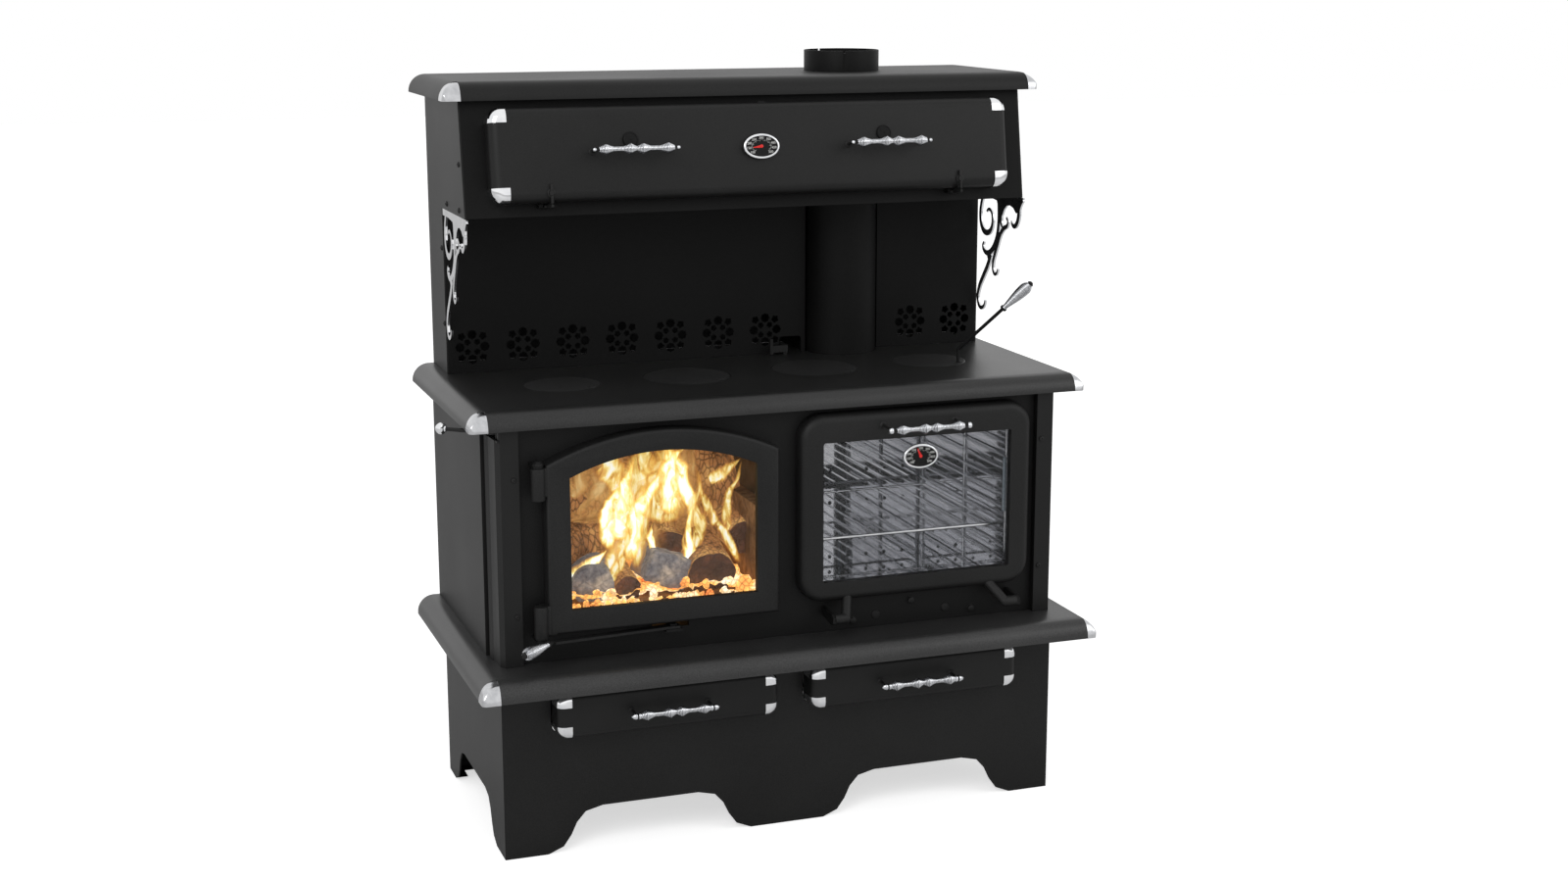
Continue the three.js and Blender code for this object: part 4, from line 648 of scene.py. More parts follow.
def makeOven():
    left, right, front, back = oven["left"], oven["right"], -oven["front"], -oven["back"]
    low, high, plate = oven["low"], oven["high"], oven["plate"]
    lining = addBlock("ovenLining", (left, front, low), (right, back, high))
    cut(lining, addBlock("inside", (left + plate, front - 5, low + plate), (right - plate, back - plate, high - plate)))
    feet = [addBlock("foot", (x, front, 377.3), (x + 12, back, low + 1)) for x in (left, right - 12)]
    finish(joinAll("ovenLining", [lining, *feet]), "ovenSteel", "root", ["oven_liner"])
    # the holes in the back wall are not cut: thin plain black discs stand on it, painted shade for the holes
    holes = [turned("hole", [(0, 0), (4, 0), (4, 0.4), (0, 0.5)], (x, back - plate, z), (0, -1, 0), 20)
             for x in range(92, 440, 42) for z in (516, 550, 584)]
    finish(joinAll("ovenHoleShade", holes), "plainBlack", "root")
    for node, wall, side in (("rack_guide_left", left + plate, 1), ("rack_guide_right", right - plate, -1)):
        x0, x1 = wall + side * 6, wall + side * 2.6
        steps = [low + plate + 24 + i * oven["pitch"] for i in range(oven["guides"])]
        wires = [addRod("guide", (x0, -498, z), (x0, -86, z), 2.1, 12) for z in steps]
        wires += [addRod("upright", (x1, y, low + plate + 0.4), (x1, y, high - 8), 2.2, 12) for y in (-497, -300, -88)]
        finish(joinAll(node + "Wires", wires), "wireSteel", "root", [node])
    (x0, x1), y0, y1, z, lift = rack["x"], rack["front"], rack["back"], rack["z"], rack["lift"]
    pieces = [addRod("rail", (x0 - 2, y0, z + lift), (x1 + 2, y0, z + lift), 3, 16),
              addRod("rail", (x0, y1, z), (x1, y1, z), 2.8, 16)]
    pieces += [addRod("side", (x, y0, z), (x, y1, z), 2.6, 16) for x in (x0, x1)]
    for i in range(rack["wires"]):
        x = x0 + (x1 - x0) * i / (rack["wires"] - 1)
        pieces += [addRod("rise", (x, y0, z + lift), (x, y0 + lift, z), 2, 12),
                   addRod("wire", (x, y0 + lift, z), (x, y1, z), 2, 12)]
    finish(joinAll("ovenRack", pieces), "chromePlate", "oven_rack", ["oven_rack"])
    finish(addRod("ovenRope", (456, -516, 586), (456, -516, 694), 3.2, 16), "ropeGrey", "root")
    print("oven lined")


makeOven()

# wound wire handles: close turns of wire that swell over four beads
wire = {"radius": 1.0, "slim": 4.2, "full": 9.8, "bulb": 11.2, "sides": 6, "steps": 18, "widest": 0.8, "samples": 800}
beads = [(0.085, 0.09, 0.11), (0.42, 0.105, 0.078), (0.58, 0.078, 0.105), (0.915, 0.11, 0.09)]


def barShape(t):  # each bead is a sharp peak between two long slopes
    lift = 0
    for place, before, after in beads:
        reach = (place - t) / before if t < place else (t - place) / after
        lift = max(lift, max(0, 1 - reach) ** 1.15)
    return wire["slim"] + (wire["full"] - wire["slim"]) * lift


def gripShape(t):  # slim at the collar, a round bulb at the end
    widest = wire["widest"]
    if t < widest:
        return wire["slim"] + (wire["bulb"] - wire["slim"]) * math.sin(t / widest * math.pi / 2) ** 1.3
    return wire["bulb"] * math.sqrt(max(0.004, 1 - ((t - widest) / (1 - widest)) ** 2))


def woundWire(name, start, toward, long, turns, shape, even=False):
    sides, steps, samples = wire["sides"], wire["steps"], wire["samples"]
    choose()
    bpy.ops.mesh.primitive_circle_add(
        vertices=sides, radius=wire["radius"] / 1000, fill_type="NOTHING", location=(0.1, 0, 0),
        rotation=(math.pi / 2, 0, 0),
    )
    piece = settle(name)
    choose(piece)
    bpy.ops.object.modifier_add(type="SCREW")
    screw = piece.modifiers[-1]
    screw.axis = "Z"
    screw.angle = 2 * math.pi
    screw.screw_offset = long / turns / 1000
    screw.iterations = turns
    screw.steps = steps
    screw.render_steps = steps
    bpy.ops.object.modifier_apply(modifier=screw.name)
    # the turns are laid along the shape, by its length or by its outline
    line = [(long * i / samples, shape(i / samples)) for i in range(samples + 1)]
    run = [0]
    for (h0, r0), (h1, r1) in zip(line, line[1:]):
        run.append(run[-1] + math.hypot(h1 - h0, r1 - r0 if even else 0))
    centres, part = [], 0
    for step in range(turns * steps + 1):
        want = run[-1] * step / (turns * steps)
        while part < len(run) - 2 and run[part + 1] < want:
            part += 1
        mix = (want - run[part]) / (run[part + 1] - run[part])
        centres.append([u + (v - u) * mix for u, v in zip(line[part], line[part + 1])])
    for i, vertex in enumerate(piece.data.vertices):
        height, radius = centres[i // sides]
        turn, tilt = 2 * math.pi * (i // sides) / steps, 2 * math.pi * (i % sides) / sides
        radius += wire["radius"] * math.cos(tilt)
        height += wire["radius"] * math.sin(tilt)
        vertex.co = (radius * math.cos(turn) / 1000, radius * math.sin(turn) / 1000, height / 1000)
    pick(piece, "EDGE", lambda e: len(e.link_faces) == 1)
    bpy.ops.mesh.fill()
    bpy.ops.mesh.select_all(action="SELECT")
    bpy.ops.mesh.normals_make_consistent(inside=False)
    leave()
    return standOn(piece, at(*start), toward)


# how a handle ends: its winding, collar and finial, measured from its middle
handleEnds = {
    "bead": {"wound": 72, "turns": 58, "collar": False, "tip": 76.6,
             "profile": [(0, 0), (1.7, 0), (3.1, 1.2), (3.7, 3.4), (3.2, 5.6), (1.7, 7.1), (0, 7.4)]},
    "button": {"wound": 69.5, "turns": 56, "collar": False, "tip": 76.2,
               "profile": [(0, 0), (4.6, 0), (6, 1.4), (6.5, 3.8), (6.1, 6.2), (4.4, 8.4), (2, 9.6), (0, 9.8)]},
    "dome": {"wound": 67.6, "turns": 54, "collar": True, "tip": 75,
             "profile": [(0, 0), (5.9, 0), (6.4, 0.9), (6.2, 3.2), (5.3, 6.2), (3.5, 8.8), (1.6, 10.4), (0, 11)]},
}
handle = {
    "post": 74.3, "rod": 2.9, "foot": [(0, 0), (7.2, 0), (7.2, 1), (6, 2.4), (4.6, 3.2), (4.2, 5), (0, 5)],
    "collar": [(0, 0), (5.9, 0), (6.4, 0.7), (6.3, 2.3), (6.4, 3.9), (5.9, 4.5), (0, 4.5)],
    "head": [(0, 0), (2.9, 0), (2.9, 1.2), (2.2, 2.8), (0, 3.2)],
}
grip = {
    "long": 71, "turns": 33, "collar": [(0, 0), (4.4, 0), (5, 0.8), (5.1, 3), (5, 5.4), (4.4, 6), (0, 6)],
    "core": [(0, 0), (3.6, 0), (3.6, 12), (5.5, 26), (9, 42), (10.6, 56), (8.8, 64), (0, 68)],
}
outward = (0, -1, 0)


def makeHandle(node, body, x, z, face, out, ends, leaning=False):
    ends = handleEnds[ends]
    wound, y, foot, rod = ends["wound"], -face - out, -face + 0.3, handle["rod"]
    dark = [addRod("core", (x - handle["post"], y, z), (x + handle["post"], y, z), rod, 20)]
    bright = []
    for side in (-1, 1):
        postAt = x + side * handle["post"]
        dark += [addRod("post", (postAt, foot, z), (postAt, y, z), rod, 24),
                 turned("foot", handle["foot"], (postAt, foot, z), outward),
                 turned("head", handle["head"], (postAt, y, z), outward)]
        bright.append(turned("tip", ends["profile"], (x + side * ends["tip"], y, z), (side, 0, 0)))
        if ends["collar"]:
            bright.append(turned("collar", handle["collar"], (x + side * wound, y, z), (side, 0, 0)))
    bright.append(woundWire("winding", (x - wound, y, z), (1, 0, 0), 2 * wound, ends["turns"], barShape))
    rod, winding = joinAll(node + "Rod", dark), joinAll(node + "Winding", bright)
    if leaning:
        lean(rod)
        lean(winding)
    finish(rod, "castPaint", body, [node])
    finish(winding, "wireSteel", body, [node + "_coil"], 60)


def makeGrip(node, body, start, toward):
    first, along = Vector(start), Vector(toward).normalized()
    collar = turned("collar", grip["collar"], first - along * 5, toward)
    winding = woundWire("winding", first, toward, grip["long"], grip["turns"], gripShape, True)
    finish(joinAll(node + "Grip", [winding, collar]), "wireSteel", body, [node + "_coil"], 60)
    finish(turned(node + "Core", grip["core"], first, toward, 24), "plainBlack", body)


drawerFace, drawerMiddle = drawer["face"], (drawer["low"] + drawer["high"]) / 2
makeHandle("ash_drawer_handle", "ash_drawer", -drawer["mid"], drawerMiddle, drawerFace, 34, "dome")
makeHandle("storage_drawer_handle", "storage_drawer", drawer["mid"], drawerMiddle, drawerFace, 34, "dome")
makeHandle("oven_handle", "oven_door", ovenDoor["mid"], 784, ovenDoor["face"], 54, "button")
for node, x in (("closet_handle_left", -254), ("closet_handle_right", 254)):
    makeHandle(node, "closet_door", x, 113.5, closetDoor["face"], 41, "bead", True)
print("handles wound")

# thermometers: oval plated case, dark dial with plain numbers and ticks
dial = {
    "halfX": 36, "halfZ": 24, "thick": 9, "rim": 4.1, "textSize": 6.4, "start": 225, "sweep": 270, "ticks": 27,
    "numbers": 9, "firstNumber": 100, "numberStep": 50, "numberIn": (10.2, 8.4), "needle": (2.8, 17),
    "flange": [(0, 0), (14, 0), (14, 2.4), (12.5, 4), (0, 4)],
    "hub": [(0, 0), (3.4, 0), (3.2, 1), (2, 1.5), (0, 1.6)],
}


def ovalDisc(name, x, y0, y1, z, shrink):
    disc = addRod(name, (x, y0, z), (x, y1, z), 100, 72)
    centre = at(x, 0, z)
    for vertex in disc.data.vertices:
        vertex.co.x = centre.x + (vertex.co.x - centre.x) * (dial["halfX"] - shrink) / 100
        vertex.co.z = centre.z + (vertex.co.z - centre.z) * (dial["halfZ"] - shrink) / 100
    return disc


def dialAngle(i, count):
    return math.radians(dial["start"] - dial["sweep"] * i / (count - 1))


def addNumber(value, place):
    choose()
    bpy.ops.object.text_add(location=place, rotation=(math.pi / 2, 0, 0))
    text = bpy.context.active_object.data
    text.body = str(value)
    text.size = dial["textSize"] / 1000
    text.align_x = "CENTER"
    text.align_y = "CENTER"
    text.extrude = 0.0001
    text.resolution_u = 2
    bpy.ops.object.convert(target="MESH")
    return settle("number")


def makeDial(node, body, pointerBody, x, z, out, back, turn, leaning):
    pointerNode = node + "_pointer"
    face, rear, rim = -out, -out + dial["thick"], dial["rim"]
    case = ovalDisc(node + "Case", x, rear, face, z, 0)
    bevelEdges(case, flush("y", face), 2.4, 5)
    bevelEdges(case, flush("y", rear), 1.5, 3)
    cut(case, ovalDisc("well", x, face + 3.4, face - 2, z, rim))
    stem = addRod("stem", (x, rear - 1, z), (x, back, z), 5, 24)
    flange = turned("flange", dial["flange"], (x, back, z), outward, 36)
    plate = ovalDisc(node + "Dial", x, face + 3.3, face + 2.2, z, rim + 0.1)
    marks = []
    halfX, halfZ = dial["halfX"] - rim, dial["halfZ"] - rim
    for i in range(dial["ticks"]):
        a = dialAngle(i, dial["ticks"])
        reach = 0.57 if i % 3 else 0.51
        c, s = math.cos(a), math.sin(a)
        marks.append(addRod("tick", (x + c * halfX * reach, face + 1.95, z + s * halfZ * reach),
                            (x + c * halfX * 0.64, face + 1.95, z + s * halfZ * 0.62), 0.3, 6))
    inX, inZ = dial["numberIn"]
    for i in range(dial["numbers"]):
        a = dialAngle(i, dial["numbers"])
        place = at(x + math.cos(a) * (dial["halfX"] - inX), face + 2.1, z + math.sin(a) * (dial["halfZ"] - inZ))
        marks.append(addNumber(dial["firstNumber"] + dial["numberStep"] * i, place))
    numbers = joinAll(node + "Numbers", marks)
    half, long = dial["needle"]
    needle = addBlock("needle", (x - half, face + 1.3, z - 1), (x + half, face + 1.8, z + long))
    pick(needle, "FACE", flush("z", z + long))
    bpy.ops.transform.resize(value=(0.25, 1, 1))
    leave()
    hub = turned("hub", dial["hub"], (x, face + 2, z), outward, 20)
    needle = spin(joinAll(pointerNode + "Needle", [needle, hub]), x, z, turn)
    case = joinAll(node + "Case", [case, stem, flange])
    if leaning:
        for piece in (case, plate, numbers, needle):
            lean(piece)
    finish(case, "chromePlate", body, [node])
    finish(plate, "plainBlack", body)
    finish(numbers, "dialWhite", body)
    finish(needle, "pointerRed", pointerBody, [pointerNode])


makeDial("oven_thermometer", "oven_door", "oven_pointer", 256, 722, 566, -532, -0.42, False)
makeDial("closet_thermometer", "closet_door", "closet_pointer", 0, 113.5, 54, -43.3, -1.7, True)
print("thermometers made")

# splash back with pierced rosettes, and the flue pipe between its two panels
splash = {
    "out": 137, "sheet": 3, "half": 561.7, "low": 858.8, "high": 1182.7, "edges": (179, 337), "up": 909,
    "left": (-514, -413, -312, -211, -110, -9, 92), "right": (413, 514),
}
rosette = [  # ring, first angle, radius, lobes, depth of the lobes
    {"ring": 24.6, "turn": 0, "radius": 8.9, "lobes": 8, "wave": 0.09},
    {"ring": 30.0, "turn": 45, "radius": 7.0, "lobes": 5, "wave": 0.15},
    {"ring": 13.6, "turn": 45, "radius": 5.8, "lobes": 5, "wave": 0.13},
]


def rosetteHole(kind, a, x, z):
    y = -splash["out"]
    hole = addRod("hole", (x, y - 4, z), (x, y + 8, z), 1, 40)
    middle = at(x, 0, z)
    for vertex in hole.data.vertices:
        dx, dz = vertex.co.x - middle.x, vertex.co.z - middle.z
        turn = math.atan2(dz, dx)
        reach = math.hypot(dx, dz) * kind["radius"] * (1 + kind["wave"] * math.cos(kind["lobes"] * (turn - a)))
        vertex.co.x = middle.x + reach * math.cos(turn)
        vertex.co.z = middle.z + reach * math.sin(turn)
    return hole


def makeSplash():
    y0, y1, low, high = -splash["out"], -splash["out"] + splash["sheet"], splash["low"], splash["high"]
    edgeLeft, edgeRight = splash["edges"]
    panels = (
        ("splash_panel_left", (-splash["half"], edgeLeft), (edgeLeft - 3, edgeLeft), splash["left"]),
        ("splash_panel_right", (edgeRight, splash["half"]), (edgeRight, edgeRight + 3), splash["right"]),
    )
    for node, (x0, x1), (w0, w1), places in panels:
        panel = addBlock(node + "Sheet", (x0, y0, low), (x1, y1, high))
        holes = []
        for x in places:
            for kind in rosette:
                for quarter in range(4):
                    a = math.radians(kind["turn"] + 90 * quarter)
                    holes.append(rosetteHole(kind, a, x + kind["ring"] * math.cos(a),
                                             splash["up"] + kind["ring"] * math.sin(a)))
        cut(panel, joinAll("holes", holes))
        if node == "splash_panel_left":
            cut(panel, bevelEdges(addBlock("slot", (122, y0 - 5, low - 20), (170, y1 + 5, low + 34)), alongY, 7, 5))
        wing = addBlock("wing", (w0, y1 - 0.5, low), (w1, -3.3, high))
        finish(joinAll(node + "Sheet", [panel, wing]), "shadedRecessPaint", stands=[node])
    print("splash back pierced")


def makeFlue():
    x, y, top, wall = flue["x"], flue["y"], flue["top"], flue["wall"]
    pipe = addRod("fluePipe", (x, y, 858.8), (x, y, 1431), flue["radius"], 128)
    cut(pipe, addRod("bore", (x, y, 850), (x, y, 1440), flue["radius"] - wall, 128))
    finish(pipe, "shadedRecessPaint", "root", ["flue_pipe"])
    collar = addRod("flueCollar", (x, y, 1430.9), (x, y, top), flue["collar"], 128)
    bevelEdges(collar, flush("z", top), 0.8, 2)
    cut(collar, addRod("bore", (x, y, 1425), (x, y, top + 5), flue["collar"] - wall, 128),
        addBlock("notch", (x - 24, y - 80, top - 4), (x - 19, y + 80, top + 5)))
    finish(collar, "shadedRecessPaint", "root")
    print("flue made")


makeSplash()
makeFlue()

# scroll brackets: plated plates cut to strokes that swell in the middle
bracket = {"half": 565, "thick": 4, "foot": 137, "top": 1182.7, "stroke": 1.2, "steps": 6, "swell": 0.4}
scrolls = [  # (out from the splash back, down from the closet), width at start, middle and end
    ([(32, 12), (24, 30), (20, 50), (24, 70), (36, 84), (54, 88), (72, 80), (80, 63), (76, 45), (62, 38), (50, 44)],
     8, 11, 4),
    ([(104, 8), (108, 30), (109, 60), (104, 88), (92, 109), (75, 124), (56, 130), (40, 125), (35, 116), (41, 108)],
     9, 12, 4),
    ([(144, 47), (152, 54), (148, 64), (132, 71), (117, 85), (107, 103), (96, 123), (87, 142), (85, 158), (93, 169),
      (104, 166), (109, 157)], 5, 10, 4),
    ([(122, 38), (119, 50), (120, 60), (127, 69)], 7, 8, 5),
    ([(74, 130), (68, 142), (58, 158), (39, 181), (22, 203), (14, 225), (20, 243), (33, 248), (46, 241), (51, 230)],
     11, 10, 4),
    ([(218, 3), (207, 14), (201, 26), (200, 40), (194, 53), (183, 61), (172, 58), (169, 50)], 9, 11, 4),
    ([(62, 128), (68, 136), (74, 142)], 14, 16, 10),
]
bracketWeb = [(6, 0.3), (222, 0.3), (217, 7), (205, 18), (196, 33), (188, 34), (176, 25), (160, 21), (146, 23),
              (134, 32), (126, 45), (116, 44), (106, 32), (98, 17), (60, 13), (6, 13)]


def bracketOutline(points, first, middle, last):  # a smooth ribbon of varying width along the points
    path, steps, swell = [Vector(p) for p in points], bracket["steps"], bracket["swell"]
    line = [curvePoint(path, i, k / steps) for i in range(len(path) - 1) for k in range(steps)] + [path[-1]]
    left, right = [], []
    for i, point in enumerate(line):
        t = i / (len(line) - 1)
        run = (line[min(i + 1, len(line) - 1)] - line[max(i - 1, 0)]).normalized()
        if t < swell:
            width = first + (middle - first) * (t / swell)
        else:
            width = middle + (last - middle) * ((t - swell) / (1 - swell)) ** 1.4
        side = Vector((-run.y, run.x)) * width * bracket["stroke"] / 2
        left.append(point + side)
        right.append(point - side)
    return left + right[::-1]


def flatPiece(name, outline, x0, x1):  # a flat plate from its outline, given as (out, down)
    choose()
    bpy.ops.mesh.primitive_circle_add(vertices=len(outline), radius=1, fill_type="NGON")
    piece = settle(name)
    for vertex, (out, down) in zip(piece.data.vertices, outline):
        vertex.co = at(x0, -bracket["foot"] - out, bracket["top"] + 0.3 - down)
    pick(piece, "FACE")
    bpy.ops.mesh.extrude_region_move(TRANSFORM_OT_translate={"value": ((x1 - x0) / 1000, 0, 0)})
    bpy.ops.mesh.select_all(action="SELECT")
    bpy.ops.mesh.normals_make_consistent(inside=False)
    leave()
    return piece


def makeBrackets():
    x0, x1 = -bracket["half"], -bracket["half"] + bracket["thick"]
    plate = flatPiece("scrollBracketLeft", bracketWeb, x0, x1)
    for points, *widths in scrolls:
        combine(plate, flatPiece("scroll", bracketOutline(points, *widths), x0, x1), "UNION")
    cut(plate, addBlock("lap", (x0 - 5, -bracket["foot"] - 0.3, 900), (x1 + 5, -100, 1200)),
        addBlock("over", (x0 - 5, -400, bracket["top"]), (x1 + 5, -100, 1220)))
    # the right one is its mirror image
    right = plate.copy()
    right.data = plate.data.copy()
    right.name = "scrollBracketRight"
    bpy.context.scene.collection.objects.link(right)
    right.data.transform(Matrix.Translation((midX, 0, 0)) @ Matrix.Scale(-1, 4, (1, 0, 0))
                         @ Matrix.Translation((-midX, 0, 0)))
    pick(right, "FACE")
    bpy.ops.mesh.flip_normals()
    leave()
    finish(plate, "chromePlate", stands=["scroll_bracket_left"])
    finish(right, "chromePlate", stands=["scroll_bracket_right"])
    print("brackets made")


makeBrackets()

# closet door's arms, buttons and washers
closetTrim = {
    "armX": 410, "buttonX": 254, "buttonZ": 133,
    "washer": [(0, 0), (8, 0), (8, 1.6), (6, 2.2), (5.4, 5), (4.6, 6), (0, 6.2)],
    "button": [(0, 0), (15, 0), (15, 3.4), (14, 5), (12.4, 5.6), (11.8, 4.6), (0, 4.6)],
}


def makeClosetTrim():
    face, z = -closetDoor["face"], closetTrim["buttonZ"]
    arms, buttons = [], []
    for side in (-1, 1):
        x = side * closetTrim["armX"]
        arms += [bevelEdges(addBlock("arm", (x - 2.5, face - 6, 17), (x + 2.5, face + 1, 56)), everyEdge, 1.2, 2),
                 bevelEdges(addBlock("foot", (x - 2.5, face - 6, 13), (x + 2.5, -8, 22)), everyEdge, 1.2, 2),
                 addRod("barrel", (x - 8, -12, 18), (x + 8, -12, 18), 4, 20),
                 turned("washer", closetTrim["washer"], (x, face - 1, 40), outward, 24)]
    for side in (-1, 1):
        x = side * closetTrim["buttonX"]
        buttons.append(turned("button", closetTrim["button"], (x, face + 0.6, z), outward, 40))
        for turn in (45, 135):
            bar = addBlock("bar", (x - 11.6, face - 4.6, z - 1.1), (x + 11.6, face - 3, z + 1.1))
            buttons.append(spin(bar, x, z, math.radians(turn)))
    buttons.append(addBlock("catch", (5, face + 13, 196), (19, face + 17, 200)))
    finish(lean(joinAll("closetTrim", arms)), "castPaint", "closet_door")
    finish(lean(joinAll("closetButtons", buttons)), "plainBlack", "closet_door")
    print("closet trim made")


makeClosetTrim()

# screws, bolts and plugs
screwHead = [(0, 0), (5.2, 0), (5.2, 0.8), (4.6, 2), (2.8, 2.9), (1.6, 2.6), (1.4, 1.6), (0, 1.6)]
boltHead = [(0, 0), (8, 0), (8, 1.2), (6.6, 1.4), (6.4, 5.4), (5.4, 6), (0, 6)]
plugHead = [(0, 0), (8.5, 0), (8.5, 1.0), (7.6, 2.0), (4, 2.4), (0, 2.5)]
sideScrews = ((-308.6, 1279.8), (-186.9, 1195.5), (-299.9, 1194.2), (-124.7, 1104.1), (-129.1, 957.3))
heads = []
for side in (-1, 1):
    heads += [turned("screw", screwHead, (side * 528, -530.1, z), outward, 20) for z in (729, 472)]
    heads += [turned("screw", screwHead, (side * 565, y, z), (side, 0, 0), 20) for y, z in sideScrews]
heads += [turned("bolt", boltHead, (x, -515, 394), outward, 12) for x in (137, 388)]
heads += [turned("plug", plugHead, (x, -515, 401), outward, 24) for x in (186, 333)]
heads.append(turned("bolt", boltHead, (259, -515, 423), outward, 12))
finish(joinAll("fasteners", heads), "castPaint")
print("fasteners set")

# levers: the air lever's and the lid lifter's wound grips, and the side lever
airLever = {"knee": (-466, -552, 424.65), "turn": 0.72, "bare": 20}
lifter = {"lid": "lid_right_outer", "rise": 27, "out": 96, "up": 118}
sideLever = {
    "pivot": Vector((-545, -505, 812)), "knob": Vector((-637, -421, 812)),
    "acorn": [(0, -13), (4.6, -13), (5.4, -12), (5.4, -10), (7.6, -9), (10.2, -6.4), (10.9, -2.4), (10.2, 1.6),
              (7.8, 5.4), (4.6, 8.4), (1.6, 9.8), (0, 10)],
}


def makeLevers():
    along = Vector((-math.cos(airLever["turn"]), -math.sin(airLever["turn"]), 0))
    makeGrip("air_lever", "air_lever", Vector(airLever["knee"]) + along * airLever["bare"], along)
    x, radius = lids[lifter["lid"]]
    half = math.sqrt(0.5)
    reach = (radius - lidSlot["in"]) * half
    foot = Vector((x + reach, lidLine - reach, slabs["cooktop"]["top"]))
    knee = foot + Vector((0, 0, lifter["rise"]))
    hold = foot + Vector((lifter["out"] * half, -lifter["out"] * half, lifter["up"]))
    makeGrip("lid_lifter", lifter["lid"], hold, (hold - knee).normalized())
    # black bent bar and a plated acorn knob
    pivot, knob = sideLever["pivot"], sideLever["knob"]
    along = (knob - pivot).normalized()
    eye = addRod("eye", pivot - Vector((0, 0, 4)), pivot + Vector((0, 0, 4)), 9, 32)
    arm = addRod("arm", pivot + along * 6, knob - along * 8, 3.8, 24)
    finish(joinAll("sideLeverBar", [eye, arm]), "blackPaint", "side_lever", ["side_lever"])
    acorn = turned("sideLeverKnob", sideLever["acorn"], knob, along, 40)
    finish(acorn, "chromePlate", "side_lever")
    print("levers made")


makeLevers()

# fire: brick bed, embers, logs and flames
def barkMaterial(name, look):
    tree, shader = newMaterial(name)
    cracks = tree.nodes.new("ShaderNodeTexVoronoi")
    cracks.feature = "DISTANCE_TO_EDGE"
    feed(tree, cracks, {"Scale": look["cracks"], "Vector": objectPlace(tree, look["stretch"])})
    crack = cracks.outputs["Distance"]
    # glow in patches, dimmed towards the cracks: on the ember bed it is the embers' own heat, on the logs and ash
    # partly their own heat and partly painted firelight from the flames
    cool, warm, hot = look["heat"]
    patches = ramp(tree, objectNoise(tree, look["patches"], 3), [(0.3, cool), (0.52, warm), (0.75, hot)])
    seams = span(tree, crack, look["seamHeatAndFirelight"], 1.0, 0.0, look["seam"])
    feed(tree, shader, {
        "Base Color": ramp(tree, objectNoise(tree, 120, 5), [(0.3, look["dark"]), (0.7, look["light"])]),
        "Roughness": 0.85, "Emission Color": mixture(tree, "RGBA", 1.0, patches, seams, "MULTIPLY"),
        "Emission Strength": look["glow"], "Normal": bumped(tree, crack, 0.8, 0.006),
    })


# the logs' and ash's heat colours and glow are partly their own heat and partly painted firelight from the flames
barks = {
    "barkHotFirelit": {"cracks": 105, "stretch": (1, 1, 0.5), "dark": (0.02, 0.012, 0.008), "light": (0.12, 0.06, 0.03),
                "heat": ((0.1, 0.036, 0.012), (0.34, 0.14, 0.045), (0.72, 0.4, 0.13)), "patches": 20,
                "seam": 0.14, "seamHeatAndFirelight": 0.14, "glow": 1.0},
    "logEnd": {"cracks": 90, "stretch": (1, 1, 1), "dark": (0.01, 0.008, 0.007), "light": (0.05, 0.03, 0.025),
               "heat": ((0.02, 0.008, 0.006), (0.055, 0.022, 0.014), (0.16, 0.05, 0.02)), "patches": 24,
               "seam": 0.1, "seamHeatAndFirelight": 0.4, "glow": 1.0},
    "ashGrey": {"cracks": 45, "stretch": (1, 1, 1), "dark": (0.05, 0.05, 0.06), "light": (0.2, 0.19, 0.2),
                "heat": ((0.05, 0.048, 0.055), (0.13, 0.12, 0.115), (0.5, 0.38, 0.26)), "patches": 30,
                "seam": 0.1, "seamHeatAndFirelight": 0.6, "glow": 0.85},
    "emberBed": {"cracks": 90, "stretch": (1, 1, 1), "dark": (0.05, 0.02, 0.01), "light": (0.2, 0.08, 0.04),
                 "heat": ((0.7, 0.14, 0.03), (1.0, 0.5, 0.12), (1.0, 0.95, 0.75)), "patches": 26,
                 "seam": 0.16, "seamHeatAndFirelight": 0.4, "glow": 1.7},
}
for name, look in barks.items():
    barkMaterial(name, look)


def flameMaterial(name, look):
    tree, shader = newMaterial(name)
    split = tree.nodes.new("ShaderNodeSeparateXYZ")
    feed(tree, split, {"Vector": tree.nodes.new("ShaderNodeTexCoord").outputs["UV"]})
    across, along = split.outputs["X"], split.outputs["Y"]
    tongues = objectNoise(tree, look["scale"], 3, look["stretch"], look["curl"])
    # brightest along the middle and towards the foot, nothing at the edges
    offset = maths(tree, "ABSOLUTE", maths(tree, "SUBTRACT", across, 0.5))
    hump = maths(tree, "SUBTRACT", 1.0, maths(tree, "MULTIPLY", maths(tree, "MULTIPLY", offset, offset), 4.0))
    upward = maths(tree, "SUBTRACT", 1.0, maths(tree, "POWER", along, look["fade"]))
    rising = maths(tree, "MINIMUM", maths(tree, "MULTIPLY", along, 9.0), 1.0)
    body = maths(tree, "MULTIPLY", maths(tree, "MULTIPLY", hump, upward), rising)
    ragged = maths(tree, "ADD", maths(tree, "MULTIPLY", tongues, look["tongue"]), look["base"])
    heat = maths(tree, "MULTIPLY", body, ragged)
    feed(tree, shader, {
        "Emission Color": ramp(tree, heat, look["colours"]), "Emission Strength": look["glow"],
        "Base Color": (0.02, 0.005, 0.001, 1), "Roughness": 1, "Specular IOR Level": 0,
        "Alpha": span(tree, heat, 0.0, look["solid"], *look["veil"]),
    })


